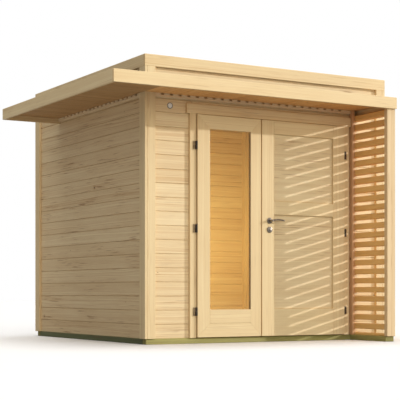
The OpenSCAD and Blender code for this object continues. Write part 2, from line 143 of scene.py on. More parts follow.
# %% [markdown]
# ## A word on shader nodes
# Every finish below is worked out from coordinates, so it has the same detail on each side of the
# house and needs no picture. Two small helpers keep the node code readable: one adds a node and links
# or sets its sockets, the other makes a group with named sockets.

# %% Helpers for shader nodes
def add(tree, kind, inputs=None, out=0, **settings):
    """Adds one shader node and gives back one of its outputs.

    inputs maps a socket's name or number to a value or to another node's output.
    """
    made = tree.nodes.new("ShaderNode" + kind)
    for key, value in settings.items():
        setattr(made, key, value)
    for key, value in (inputs or {}).items():
        if isinstance(value, bpy.types.NodeSocket):
            tree.links.new(value, made.inputs[key])
        else:
            made.inputs[key].default_value = value
    return made.outputs[out]


def calc(tree, operation, *values, clamp=False):
    """One Math node."""
    return add(tree, "Math", dict(enumerate(values)), operation=operation, use_clamp=clamp)


def blend(tree, share, first, second, mode="MIX"):
    """Mixes two colours: share 0 is the first, 1 the second."""
    return add(tree, "Mix", {0: share, 6: first, 7: second}, out=2, data_type="RGBA", blend_type=mode)


def remap(tree, value, low, high, to_low=0.0, to_high=1.0):
    """Stretches the range low to high onto to_low to to_high, smoothly and held at both ends."""
    return add(tree, "MapRange", {0: value, 1: low, 2: high, 3: to_low, 4: to_high},
               interpolation_type="SMOOTHSTEP")


def stretched(tree, x, y, z, along, across):
    """The board coordinates, scaled by one factor along the grain and another across it."""
    return add(tree, "CombineXYZ", {0: calc(tree, "MULTIPLY", x, along),
                                    1: calc(tree, "MULTIPLY", y, across),
                                    2: calc(tree, "MULTIPLY", z, across)})


def group(name, inputs, outputs):
    """An empty shader group with its sockets; gives back the tree, its inputs and its output node."""
    tree = bpy.data.node_groups.new(name, "ShaderNodeTree")
    kinds = {"f": "NodeSocketFloat", "v": "NodeSocketVector", "c": "NodeSocketColor"}
    for socket, kind, value in inputs:
        made = tree.interface.new_socket(socket, in_out="INPUT", socket_type=kinds[kind])
        if value is not None:
            made.default_value = value
    for socket, kind in outputs:
        tree.interface.new_socket(socket, in_out="OUTPUT", socket_type=kinds[kind])
    return tree, tree.nodes.new("NodeGroupInput").outputs, tree.nodes.new("NodeGroupOutput")


def linear(red, green, blue):
    """A colour read off a screen, 0 to 255, as the shader wants it."""
    c = np.array([red, green, blue]) / 255
    return (*np.where(c <= 0.04045, c / 12.92, ((c + 0.055) / 1.055) ** 2.4), 1.0)


def finish_of(name, colour=(0.8, 0.8, 0.8, 1.0), roughness=0.5, metallic=0.0):
    """A material with one Principled shader; gives back the material, its tree and the shader."""
    made = bpy.data.materials.new(name)
    made.use_nodes = True
    shader = made.node_tree.nodes["Principled BSDF"]
    shader.inputs["Base Color"].default_value = colour
    shader.inputs["Roughness"].default_value = roughness
    shader.inputs["Metallic"].default_value = metallic
    return made, made.node_tree, shader


# %% [markdown]
# ## Spruce
# The whole house is planed, untreated spruce. A board is sawn from a log, so its figure is a slice
# through rings round the log's heart: lines that run along the board, wide in the middle of the face
# and close at its edges, that bend a little on the way. On top lie fine fibres, broad pale and dark
# streaks, a few knots that push the lines aside, and short dark resin marks.
# Each board carries its own coordinates in an attribute called grain: metres along the board, across
# its face and into its depth, moved by a chance amount so that no two boards match.

# %% Node group: spruce
def spruce_group():
    """Colour, roughness and height of planed spruce.

    The ring pattern is the fraction of (distance from the heart) x (rings per metre). The heart is
    the line where across and depth are zero, and noise moves it sideways along the board.
    """
    tree, given, result = group("spruce", [
        ("Grain", "v", None), ("Tone", "f", 0.0), ("End", "f", 0.0),
        ("Light", "c", (0.8, 0.6, 0.35, 1)), ("Dark", "c", (0.6, 0.35, 0.15, 1)),
        ("Knot", "c", (0.12, 0.05, 0.02, 1)), ("Mark", "c", (0.3, 0.12, 0.04, 1)),
        ("Rings", "f", 0.5), ("Streaks", "f", 0.5), ("Knots", "f", 0.4), ("Resin", "f", 0.5),
    ], [("Color", "c"), ("Roughness", "f"), ("Height", "f")])
    xyz = tree.nodes.new("ShaderNodeSeparateXYZ")
    tree.links.new(given["Grain"], xyz.inputs[0])
    x, y, z = xyz.outputs

    flat = add(tree, "CombineXYZ", {0: calc(tree, "MULTIPLY", x, 0.75), 1: y})
    cells = tree.nodes.new("ShaderNodeTexVoronoi")
    cells.voronoi_dimensions = "2D"
    cells.inputs["Scale"].default_value = 3.4
    tree.links.new(flat, cells.inputs["Vector"])
    away = calc(tree, "DIVIDE", cells.outputs["Distance"], 3.4)
    pick = tree.nodes.new("ShaderNodeSeparateColor")
    tree.links.new(cells.outputs["Color"], pick.inputs[0])
    chosen = calc(tree, "LESS_THAN", pick.outputs[0], given["Knots"])
    radius = calc(tree, "MULTIPLY_ADD", pick.outputs[1], 0.005, 0.002)
    ratio = calc(tree, "DIVIDE", away, radius)
    core = calc(tree, "MULTIPLY", remap(tree, ratio, 1.25, 0.75), chosen)
    halo = calc(tree, "MULTIPLY", remap(tree, ratio, 4.0, 0.8), chosen)

    wander = add(tree, "TexNoise", {"Vector": stretched(tree, x, y, z, 0.9, 5.0), "Scale": 1.0,
                                    "Detail": 2.0})
    side = calc(tree, "MULTIPLY_ADD", calc(tree, "SUBTRACT", wander, 0.5), 0.05, y)
    side = calc(tree, "MULTIPLY_ADD", halo, 0.012, side)
    far = calc(tree, "SQRT", calc(tree, "ADD", calc(tree, "MULTIPLY", side, side),
                                  calc(tree, "MULTIPLY", z, z)))
    ring = calc(tree, "FRACT", calc(tree, "MULTIPLY", far, 210.0))
    ring = calc(tree, "MULTIPLY", remap(tree, ring, 0.15, 0.82), remap(tree, ring, 1.0, 0.88))

    fibre = add(tree, "TexNoise", {"Vector": stretched(tree, x, y, z, 7.0, 520.0), "Scale": 1.0,
                                   "Detail": 3.0, "Roughness": 0.6})
    broad = add(tree, "TexNoise", {"Vector": stretched(tree, x, y, z, 0.9, 62.0), "Scale": 1.0,
                                   "Detail": 4.0, "Roughness": 0.62})
    cloud = add(tree, "TexNoise", {"Vector": stretched(tree, x, y, z, 2.2, 9.0), "Scale": 1.0,
                                   "Detail": 2.0})
    mark = add(tree, "TexNoise", {"Vector": stretched(tree, x, y, z, 4.2, 105.0), "Scale": 1.0,
                                  "Detail": 1.5})
    mark = calc(tree, "MULTIPLY", remap(tree, mark, 0.57, 0.70), given["Resin"])
    mark = calc(tree, "MULTIPLY", mark, remap(tree, cloud, 0.44, 0.62))

    deep = calc(tree, "MULTIPLY", ring, given["Rings"])
    deep = calc(tree, "MULTIPLY_ADD", calc(tree, "SUBTRACT", broad, 0.5),
                calc(tree, "MULTIPLY", given["Streaks"], 2.0), deep)
    deep = calc(tree, "MULTIPLY_ADD", calc(tree, "SUBTRACT", fibre, 0.5), 0.35, deep)
    deep = calc(tree, "MULTIPLY_ADD", calc(tree, "SUBTRACT", cloud, 0.5), 0.3, deep)
    deep = calc(tree, "ADD", calc(tree, "ADD", deep, given["Tone"]), 0.18)
    deep = calc(tree, "MULTIPLY_ADD", halo, 0.30, deep, clamp=True)
    colour = blend(tree, deep, given["Light"], given["Dark"])
    colour = blend(tree, calc(tree, "MULTIPLY", mark, 0.65), colour, given["Mark"])
    colour = blend(tree, calc(tree, "MULTIPLY", core, 0.85), colour, given["Knot"])
    colour = blend(tree, calc(tree, "MULTIPLY", given["End"], 0.45), colour, given["Dark"])
    tree.links.new(colour, result.inputs["Color"])
    rough = calc(tree, "MULTIPLY_ADD", fibre, 0.16, 0.47)
    rough = calc(tree, "MULTIPLY_ADD", core, -0.12, rough)
    tree.links.new(calc(tree, "MULTIPLY_ADD", given["End"], 0.2, rough), result.inputs["Roughness"])
    height = calc(tree, "MULTIPLY_ADD", ring, 0.5, calc(tree, "MULTIPLY", fibre, 0.6))
    tree.links.new(calc(tree, "MULTIPLY_ADD", core, 0.8, height), result.inputs["Height"])
    return tree


SPRUCE = spruce_group()
print("spruce group:", len(SPRUCE.nodes), "nodes")

# %% [markdown]
# ## One wood, many pieces
# The same group serves every wooden piece with its own values: wide clear boards on the trims, more
# knots in the walls, redder wood under the canopy, green-brown for the pressure-treated bearers.
# Some are lit and shaded copies of one wood: lighter copies paint the sun on the front walls and
# bearers and its bounce under the front canopy and on the slats; darker copies paint the shade on
# the screen's batten and the side bearers.

# %% Wood finishes
def wood(name, light, dark, rings=0.5, streaks=0.5, knots=0.35, resin=0.5, bump=0.35):
    """A finish that reads the board's own attributes and feeds the spruce group."""
    made, tree, shader = finish_of(name)
    spruce = tree.nodes.new("ShaderNodeGroup")
    spruce.node_tree = SPRUCE
    tree.links.new(add(tree, "Attribute", attribute_name="grain", out=1), spruce.inputs["Grain"])
    tree.links.new(add(tree, "Attribute", attribute_name="tone", out=2), spruce.inputs["Tone"])
    tree.links.new(add(tree, "Attribute", attribute_name="end", out=2), spruce.inputs["End"])
    values = {"Light": linear(*light), "Dark": linear(*dark), "Knot": linear(78, 48, 26),
              "Mark": linear(150, 98, 54), "Rings": rings, "Streaks": streaks, "Knots": knots,
              "Resin": resin}
    for socket, value in values.items():
        spruce.inputs[socket].default_value = value
    tree.links.new(spruce.outputs["Color"], shader.inputs["Base Color"])
    tree.links.new(spruce.outputs["Roughness"], shader.inputs["Roughness"])
    relief = add(tree, "Bump", {"Strength": bump, "Distance": 0.0008,
                                "Height": spruce.outputs["Height"]})
    tree.links.new(relief, shader.inputs["Normal"])
    shader.inputs["Specular IOR Level"].default_value = 0.35
    return made


WOOD = {
    "cladding": wood("wall_spruce", (245, 223, 181), (202, 161, 109), rings=0.35, streaks=0.45,
                     knots=0.3, resin=1.0),
    # A paler copy of the wall wood with fewer resin marks, for all walls but the left one. Its fewer marks
    # are pattern; its paler colour is painted light, the sun on the front.
    "calm_cladding": wood("calm_wall_spruce", (248, 228, 187), (212, 173, 122), rings=0.35,
                          streaks=0.4, knots=0.3, resin=0.45),
    "trim": wood("trim_spruce", (243, 221, 177), (216, 180, 127), rings=0.3, streaks=0.35, knots=0.0,
                 resin=0.35),
    "lining": wood("lining_spruce", (226, 194, 144), (186, 142, 90), rings=0.35, knots=0.1),
    "vent": wood("vent_spruce", (250, 230, 192), (226, 190, 142), rings=0.2, streaks=0.2, knots=0.0),
    "leaf": wood("leaf_spruce", (245, 224, 180), (218, 184, 132), rings=0.3, streaks=0.3, knots=0.0,
                 resin=0.15),
    "panel": wood("panel_spruce", (244, 224, 183), (210, 177, 128), rings=0.35, streaks=0.6,
                  knots=0.06, resin=0.7),
    "soffit": wood("soffit_spruce", (210, 168, 114), (164, 118, 72), rings=0.4, streaks=0.5,
                   knots=0.2),
    # A lighter, warmer copy of the soffit wood for the front canopy: painted light, the sun's bounce off
    # the front wall.
    "soffit_front": wood("front_soffit_spruce", (252, 203, 136), (216, 154, 90), rings=0.4,
                         streaks=0.5, knots=0.2),
    "screen": wood("screen_spruce", (233, 206, 163), (194, 154, 106), rings=0.35, streaks=0.4,
                   knots=0.1),
    # A warmer, more orange copy of the screen wood for the slats: its orange is painted light, the warm
    # bounce on the slats' shaded faces.
    "slat": wood("slat_spruce", (250, 206, 134), (222, 162, 92), rings=0.3, streaks=0.3, knots=0.05),
    "roof_timber": wood("sawn_spruce", (226, 192, 138), (180, 134, 84), rings=0.5, knots=0.4,
                        bump=0.7),
    "floor": wood("floor_spruce", (230, 196, 142), (186, 138, 86), knots=0.35),
    # A darker, redder copy of the screen wood for the batten: painted shade, the shade it stands in behind
    # the slats.
    "batten": wood("batten_spruce", (231, 184, 136), (192, 145, 99), rings=0.35, streaks=0.4),
    # The bearers' wood comes in two copies: the lighter one paints the sunlight on the front bearers, the
    # darker one is painted shade for the cross bearers on the shaded side.
    "treated_timber": wood("treated_timber", (188, 180, 112), (132, 126, 74), rings=0.6,
                           streaks=0.7, knots=0.3, bump=0.7),
    "treated_dark": wood("treated_dark_timber", (122, 128, 90), (82, 88, 58), rings=0.6,
                         streaks=0.7, knots=0.3, bump=0.7),
}
print("wood finishes:", ", ".join(WOOD))

# %% [markdown]
# ## Boards as arrays
# A planed board is a box whose sharp edges have been taken off. All boards of a wall are computed at
# once: each of a box's 8 corners becomes 3 points, one on each face that meets there, which gives 6
# faces, 12 narrow cuts along the edges and 8 small triangles, 26 faces in all.

# %% Boxes with cut edges
CORNERS = np.array([[i, j, k] for i in (0, 1) for j in (0, 1) for k in (0, 1)])


def cut_box_faces():
    """The 26 faces of one box with cut edges, each turned so that it faces outward.

    Point 3 x corner + axis lies on the face square to that axis. A face points outward when its
    normal points the same way as the line from the box's middle to the face's middle.
    """
    unit = (CORNERS[:, None, :] + (1 - 2 * CORNERS[:, None, :]) * 0.2 * (1 - np.eye(3))).reshape(24, 3)
    faces = []
    for axis in range(3):
        first, second = [a for a in range(3) if a != axis]
        for side in (0, 1):
            ring = [c for c in range(8) if CORNERS[c][axis] == side]
            ring.sort(key=lambda c: math.atan2(CORNERS[c][second] - 0.5, CORNERS[c][first] - 0.5))
            faces.append([3 * c + axis for c in ring])
        step = 4 >> axis
        for c in (c for c in range(8) if not c & step):
            faces.append([3 * c + first, 3 * (c + step) + first, 3 * (c + step) + second, 3 * c + second])
    faces += [[3 * c, 3 * c + 1, 3 * c + 2] for c in range(8)]
    for face in faces:
        p = unit[face]
        if np.cross(p[1] - p[0], p[2] - p[0]) @ (p.mean(axis=0) - 0.5) < 0:
            face.reverse()
    return faces


BOX_FACES = cut_box_faces()
chance = np.random.default_rng(11)


def shape_of(points, faces, grain=None, tone=None, end=None):
    """What every shape function gives back: points, faces and the marks that wood needs."""
    n = len(points)
    return {"points": points, "faces": faces, "grain": np.zeros((n, 3)) if grain is None else grain,
            "tone": np.zeros(n) if tone is None else tone, "end": np.zeros(n) if end is None else end}


def grain_of(points, middle, along, depth, board):
    """Board coordinates of points, for boards whose grain runs along one axis.

    The axes are put in the order along, across, depth, measured from the board's middle, and each
    board is moved by its own chance amount: anywhere along, a little across, and some way from the
    heart of the log.
    """
    across = 3 - along - depth
    local = (points - middle)[..., [along, across, depth]]
    count = board.max() + 1
    moved = np.stack([chance.uniform(0, 90, count), chance.uniform(-0.03, 0.03, count),
                      chance.uniform(0.02, 0.09, count)], axis=1)
    return local + moved[board], chance.normal(0, 0.06, count)[board]


def boards(low, high, along, cut=1.5 * MM, depth=None):
    """Boxes with cut edges, all at once, with the marks for wood.

    A point is its corner of the box, moved inward by the cut along the two axes that its face spans.
    """
    low, high = np.atleast_2d(np.asarray(low, float)), np.atleast_2d(np.asarray(high, float))
    count, size = len(low), high - low
    cut = np.minimum(cut, size.min(axis=1) * 0.3)
    corner = low[:, None, :] + CORNERS * size[:, None, :]
    inward = (1 - 2 * CORNERS) * cut[:, None, None]
    points = corner[:, :, None, :] + inward[:, :, None, :] * (1 - np.eye(3))
    others = [a for a in range(3) if a != along]
    depth = min(others, key=lambda a: size[:, a].mean()) if depth is None else depth
    board = np.arange(count)[:, None].repeat(24, axis=1)
    points = points.reshape(count, 24, 3)
    grain, tone = grain_of(points, ((low + high) / 2)[:, None, :], along, depth, board)
    end = np.tile(np.arange(3) == along, (count, 8)).astype(float)
    faces = [[24 * b + p for p in face] for b in range(count) for face in BOX_FACES]
    return shape_of(points.reshape(-1, 3), faces, grain.reshape(-1, 3), tone.ravel(), end.ravel())


def joined(*shapes):
    """Several shapes as one."""
    start = np.cumsum([0] + [len(s["points"]) for s in shapes])
    made = {k: np.concatenate([s[k] for s in shapes]) for k in ("points", "grain", "tone", "end")}
    made["faces"] = [[p + int(first) for p in face] for s, first in zip(shapes, start)
                     for face in s["faces"]]
    return made


# %% [markdown]
# ## From arrays to pieces
# A piece of the scene is a mesh whose points already lie where they belong, so its object stays at
# the origin. It rides on a body of the frame and hides the CAD nodes it stands for; a wooden piece
# takes its finish by its slot's name.

# %% Making a piece
def piece(name, shape, finish, body="house", nodes=(), smooth=False):
    """Puts a shape into the scene as one object."""
    mesh = bpy.data.meshes.new(name)
    mesh.from_pydata(shape["points"].tolist(), [], shape["faces"])
    for mark, kind, field in (("grain", "FLOAT_VECTOR", "vector"), ("tone", "FLOAT", "value"),
                              ("end", "FLOAT", "value")):
        values = np.ascontiguousarray(shape[mark], np.float32).ravel()
        mesh.attributes.new(mark, kind, "POINT").data.foreach_set(field, values)
    if smooth:
        mesh.shade_smooth()
        mesh.set_sharp_from_angle(angle=math.radians(40))
    mesh.materials.append(finish)
    mesh.update()
    made = bpy.data.objects.new(name, mesh)
    scene.collection.objects.link(made)
    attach(made, body)
    if nodes:
        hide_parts(*nodes)
    return made


def timber(name, shape, slot, nodes=(), body="house", finish=None):
    """A wooden piece: its finish is the one of its slot, or another one by name."""
    return piece(name, shape, WOOD[finish or slot], body, nodes)


# %% [markdown]
# ## Walls
# Each wall is a stack of tongue and groove boards. The V joint is a cut of 3 mm along both outer
# edges; behind it the boards stand 2 mm apart, and the tongue closes that gap. So the joint is a thin
# dark line, as on the real wall. A wider joint under the vent strip takes up the wood's swelling.

# %% Boarded walls
V_CUT = 3 * MM
BOARD_GAP = 2 * MM
TONGUE_BACK = 9 * MM
TONGUE_H = 6 * MM
TOP_GAP = 6 * MM
BOARD_COUNT = 17
WALL_FOOT = box_of("left_wall")[0][2]
WALL_TOP = box_of("left_wall")[1][2]
BOARD_H = (WALL_TOP - WALL_FOOT) / BOARD_COUNT


def boarded(low, high, along):
    """Boards of one wall from its box: split in height where the CAD's grooves are, with tongues."""
    steps = np.arange(WALL_FOOT, WALL_TOP + 2 * BOARD_COUNT * BOARD_H, BOARD_H)
    inner = steps[(steps > low[2] + 5 * MM) & (steps < high[2] - 5 * MM)]
    edges = np.concatenate([[low[2]], inner, [high[2]]])
    count = len(edges) - 1
    lows, highs = np.tile(low, (count, 1)), np.tile(high, (count, 1))
    lows[:, 2], highs[:, 2] = edges[:-1] + BOARD_GAP / 2, edges[1:] - BOARD_GAP / 2
    lows[0, 2], highs[-1, 2] = low[2], high[2]
    if abs(high[2] - WALL_TOP) < 1 * MM:
        highs[-1, 2] -= TOP_GAP
    stack = boards(lows, highs, along, cut=V_CUT)
    depth = 1 - along
    joints = np.append(inner, high[2] - TONGUE_H)
    lows, highs = np.tile(low, (len(joints), 1)), np.tile(high, (len(joints), 1))
    lows[:, depth] += TONGUE_BACK
    highs[:, depth] -= TONGUE_BACK
    lows[:, 2], highs[:, 2] = joints - TONGUE_H, joints + TONGUE_H
    return joined(stack, boards(lows, highs, along, cut=1 * MM))


for wall, along in (("left_wall", 1), ("right_wall", 1), ("back_wall", 0), ("front_wall_left", 0),
                    ("front_wall_right", 0), ("front_wall_top", 0)):
    # The left wall keeps the wall wood. The other walls take its paler copy, whose colour paints the
    # sunlight on the front.
    finish = "cladding" if wall == "left_wall" else "calm_cladding"
    timber(wall + "_boards", boarded(*box_of(wall), along), "cladding", [wall], finish=finish)
for wall, along in (("attic_long_walls", 0), ("attic_side_walls", 1)):
    stacks = [boarded(low, high, along) for low, high in zip(*solids_of(wall, 1 - along))]
    timber(wall + "_boards", joined(*stacks), "cladding", [wall])
print("wall boards", BOARD_COUNT, "high,", round(BOARD_H / MM, 1), "mm each")

# %% [markdown]
# ## Corner boards, casing and fascias
# Two boards close each corner: the side board runs through to the front, so its narrow edge shows
# beside the front board. A square post stands inside each corner, and the walls are screwed to it.
# The trims are clear boards with lightly rounded edges.

# %% Corner boards
TRIM_T = box_of("casing_sides")[1][1] - box_of("casing_sides")[0][1]
TRIM_EDGE = 2 * MM
LAP_GAP = 0.6 * MM


def corner_boards(low, high, left, front):
    """The two boards of one corner: the side board covers the front board's end."""
    side_low, side_high, front_low, front_high = low.copy(), high.copy(), low.copy(), high.copy()
    if left:
        side_high[0] = low[0] + TRIM_T
        front_low[0] = side_high[0] + LAP_GAP
    else:
        side_low[0] = high[0] - TRIM_T
        front_high[0] = side_low[0] - LAP_GAP
    if front:
        front_high[1] = low[1] + TRIM_T
    else:
        front_low[1] = high[1] - TRIM_T
    return boards([side_low, front_low], [side_high, front_high], 2, TRIM_EDGE)


for node, front in (("front_corners", True), ("back_corners", False)):
    low, high = solids_of(node, 0)
    outside = [corner_boards(low[i], high[i], i == 0, front) for i in (0, 3)]
    timber(node + "_boards", joined(*outside, boards(low[1:3], high[1:3], 2, TRIM_EDGE)), "trim", [node])

# %% Casing, header, lining and sill
def plain_boards(node, along, slot, cut=TRIM_EDGE, name=None, body="house", finish=None):
    """Every solid of a node as a board with eased edges."""
    shape = boards(*solids_of(node), along, cut)
    return timber(name or node + "_boards", shape, slot, [node], body, finish)


plain_boards("casing_sides", 2, "trim")
plain_boards("door_header", 0, "trim")
plain_boards("door_sill", 0, "lining")


def stepped(node, along, name):
    """Lining boards with their stops: each solid is a board of the lining's depth and a thinner stop."""
    lows, highs = solids_of(node)
    sides = solids_of("casing_sides", 0)
    frame_left, frame_right = sides[1][0][0], sides[0][1][0]
    head = solids_of("door_header")[0][0][2]
    made = []
    for low, high in zip(lows, highs):
        board_low, board_high, stop_low, stop_high = low.copy(), high.copy(), low.copy(), high.copy()
        stop_low[1] = stop_high[1] - STOP_DEPTH
        if along == 2 and low[0] < frame_left:
            board_high[0] = frame_left
            stop_low[0] = frame_left
        elif along == 2:
            board_low[0] = frame_right
            stop_high[0] = frame_right
        else:
            board_low[2] = head
            stop_high[2] = head
            stop_low[0], stop_high[0] = frame_left, frame_right
        if along == 2:
            stop_low[2] = box_of("door_sill")[1][2]
        made.append(boards([board_low, stop_low], [board_high, stop_high], along, 1.5 * MM))
    return timber(name, joined(*made), "lining", [node])


STOP_DEPTH = box_of("door_sill")[1][1] - box_of("door_sill")[0][1]
stepped("door_jambs", 2, "jamb_linings")
stepped("door_head", 0, "head_lining")

# %% Fascias round the attic and the canopy
plain_boards("top_fascia_long", 0, "trim")
plain_boards("top_fascia_side", 1, "trim")
plain_boards("canopy_fascia_front", 0, "trim")
plain_boards("canopy_fascia_left", 1, "trim")
low, high = solids_of("canopy_fascia_ends", 0)
timber("canopy_fascia_rear_board", boards(low[:1], high[:1], 0, TRIM_EDGE), "trim", ["canopy_fascia_ends"])
timber("canopy_fascia_right_board", boards(low[1:], high[1:], 1, TRIM_EDGE), "trim")
print("fascias done")

# %% [markdown]
# ## Under the canopy
# The boards lie across the overhang: from the fascia to the wall, so in front they run towards the
# door and on the left they run sideways. The notched strip on the wall lets air pass over its top.

# %% Canopy boards
SOFFIT_BOARD = 96 * MM
SOFFIT_GAP = 2 * MM
SOFFIT_EDGE = 3 * MM


def laid(low, high, along, width, gap):
    """Boards side by side that fill a flat box, their grain along one axis and about equally wide."""
    across = 1 - along
    count = max(1, round((high[across] - low[across]) / width))
    edges = np.linspace(low[across], high[across], count + 1)
    lows, highs = np.tile(low, (len(edges) - 1, 1)), np.tile(high, (len(edges) - 1, 1))
    lows[:, across], highs[:, across] = edges[:-1] + gap / 2, edges[1:] - gap / 2
    return lows, highs


notch_x, notch_y, _ = solids_of("front_corners", 0)[1][0]
low, high = box_of("canopy_front_boards")
lows, highs = laid(low, high, 1, SOFFIT_BOARD, SOFFIT_GAP)
beside_corner = lows[:, 0] < notch_x
highs[beside_corner, 1] = HOUSE_LOW[1]
# The front soffit takes the lighter copy of the soffit wood, whose colour paints the sun's bounce off the
# wall.
timber("canopy_front_soffit", boards(lows, highs, 1, SOFFIT_EDGE), "soffit", ["canopy_front_boards"],
       finish="soffit_front")
low, high = box_of("canopy_left_boards")
lows, highs = laid(low, high, 0, SOFFIT_BOARD, SOFFIT_GAP)
beside_corner = lows[:, 1] < notch_y
highs[beside_corner, 0] = HOUSE_LOW[0]
timber("canopy_left_soffit", boards(lows, highs, 0, SOFFIT_EDGE), "soffit", ["canopy_left_boards"])

# %% Notched vent strips
COMB_PITCH = 78 * MM
TOOTH_W = 50 * MM
COMB_BACK = 15 * MM


def comb(low, high, along):
    """A strip with notches cut down from its upper edge, one tooth apart, as whole boards of wood."""
    length = high[along] - low[along]
    count = int((length - TOOTH_W) / COMB_PITCH + 1e-6)
    first = low[along] + COMB_PITCH * np.arange(count + 1)
    last = np.append(first[:-1] + TOOTH_W, high[along])
    lows, highs = np.tile(low, (count + 1, 1)), np.tile(high, (count + 1, 1))
    lows[:, along], highs[:, along], lows[:, 2] = first, last, low[2] + COMB_BACK
    back = high.copy()
    back[2] = low[2] + COMB_BACK
    return joined(boards(low, back, along, 1 * MM), boards(lows, highs, along, 0.8 * MM))


strips = [comb(low, high, int(high[1] - low[1] > high[0] - low[0]))
          for low, high in zip(*solids_of("vent_combs"))]
timber("vent_strips", joined(*strips), "lining", ["vent_combs"], finish="vent")
print("soffit and vent strips done")

# %% [markdown]
# ## The screen
# Thick slats stand one above the other between the front post and a batten on the wall. Their edges
# are rounded more than the trims', because such slats are milled.

# %% Screen
# The slats take the orange copy of the screen wood, which paints the warm bounce on their faces.
plain_boards("screen_slats", 1, "screen", 4 * MM, "screen_slat_bars", finish="slat")
lows, highs = solids_of("screen_posts", 1)
timber("screen_post_timber", boards(lows[:1], highs[:1], 2, 3 * MM), "screen", ["screen_posts"])
# The batten takes the darker copy of the screen wood, which paints the shade behind the slats.
timber("screen_batten", boards(lows[1:], highs[1:], 2, 3 * MM), "screen", ["screen_posts"], finish="batten")
print("screen post and batten:", lows.round(2).tolist())

# %% [markdown]
# ## Base, floor and roof
# Bearers are sawn timber, pressure-treated against rot. The floor and the roof deck are boards. The
# roof is covered with felt in strips that overlap by a hand's width.

# %% Bearers, floor boards, beams and deck
plain_boards("base_long_beams", 0, "treated_timber", 3 * MM, "long_bearers")
# The cross bearers take the darker copy: painted shade for the house's shaded left side.
plain_boards("base_cross_beams", 1, "treated_timber", 3 * MM, "cross_bearers", finish="treated_dark")
plain_boards("screen_bearer", 1, "treated_timber", 3 * MM, "screen_bearer_timber")
FLOOR_BOARD = 96 * MM
lows, highs = laid(*box_of("floor_boards"), 0, FLOOR_BOARD, 1 * MM)
timber("floor_planks", boards(lows, highs, 0, 2 * MM), "floor", ["floor_boards"])
plain_boards("roof_beams", 0, "roof_timber", 3 * MM, "roof_joists")
lows, highs = laid(*box_of("roof_deck"), 1, FLOOR_BOARD, 1 * MM)
timber("roof_deck_planks", boards(lows, highs, 1, 2 * MM), "roof_timber", ["roof_deck"])
print("timber of base and roof done")

# %% [markdown]
# ## A profile carried along a line
# Door members have a rebate for the glass and mitred ends, which a box can't show. So their section
# is drawn as a polygon with eased corners and carried along its axis, and each point of the section
# may start and end at its own place: on a mitre, that place depends on how far out the point lies.

# %% Bars with a section
def eased(section, cut):
    """Cuts each corner of a closed polygon: two points on its two edges, one cut away from it."""
    before, after = np.roll(section, 1, axis=0) - section, np.roll(section, -1, axis=0) - section
    before /= np.linalg.norm(before, axis=1, keepdims=True)
    after /= np.linalg.norm(after, axis=1, keepdims=True)
    return np.stack([section + cut * before, section + cut * after], axis=1).reshape(-1, 2)


def carried(section, along, start, end, depth):
    """A bar: the section's points, once at their start and once at their end along an axis.

    section holds the other two coordinates in the order of the axes; start and end hold one value
    for each point. The sides join the two rings, and the rings themselves close the ends.
    """
    others = [a for a in range(3) if a != along]
    n = len(section)
    points = np.empty((2, n, 3))
    points[:, :, others] = section
    points[0, :, along], points[1, :, along] = start, end
    i, j = np.arange(n), np.roll(np.arange(n), -1)
    a, b = section, np.roll(section, -1, axis=0)
    turns_left = (a[:, 0] * b[:, 1] - b[:, 0] * a[:, 1]).sum() > 0
    sides = np.stack([i, j, j + n, i + n], axis=1)
    faces = [*sides.tolist(), i[::-1].tolist(), (i + n).tolist()]
    if turns_left == (along == 1):
        faces = [face[::-1] for face in faces]
    middle = (points.reshape(-1, 3).min(axis=0) + points.reshape(-1, 3).max(axis=0)) / 2
    flat = points.reshape(-1, 3)
    grain, tone = grain_of(flat, middle, along, depth, np.zeros(2 * n, int))
    return shape_of(flat, faces, grain, tone)


# %% [markdown]
# ## The glazed leaf
# Two stiles and two rails meet in mitres, the joint that shows as a fine slanted line at each corner.
# A kick board fills the foot between the stiles. The glass lies in a rebate, and four beads with a
# sloping face hold it from the room.

# %% Glazed leaf
LEAF_LOW, LEAF_HIGH = box_of("left_leaf_stiles")
GLASS_LOW, GLASS_HIGH = box_of("left_leaf_glass")
BEAD_LOW, BEAD_HIGH = box_of("left_leaf_beads")
FIT = BEAD_LOW[1] - GLASS_HIGH[1]
REBATE = 10 * MM
RAIL_W = LEAF_HIGH[2] - (GLASS_HIGH[2] - REBATE + FIT)
LEAF_EDGE = 1.5 * MM
MITRE_GAP = 0.5 * MM
sight_low = GLASS_LOW + REBATE - FIT
sight_high = GLASS_HIGH - REBATE + FIT


def stile(outer, inner):
    """A stile of the glazed leaf, from its outer edge to the glass edge, mitred at both ends.

    The mitre rises from the leaf's corner to the rail's edge, so a point's end lies as far in as its
    share of the stile's width times the rail's width.
    """
    toward = math.copysign(REBATE, outer - inner)
    section = np.array([[outer, LEAF_LOW[1]], [inner, LEAF_LOW[1]], [inner, GLASS_LOW[1]],
                        [inner + toward, GLASS_LOW[1]], [inner + toward, LEAF_HIGH[1]],
                        [outer, LEAF_HIGH[1]]])
    section = eased(section, LEAF_EDGE)
    rise = (section[:, 0] - outer) / (inner - outer) * RAIL_W + MITRE_GAP
    return carried(section, 2, LEAF_LOW[2] + rise, LEAF_HIGH[2] - rise, 1)


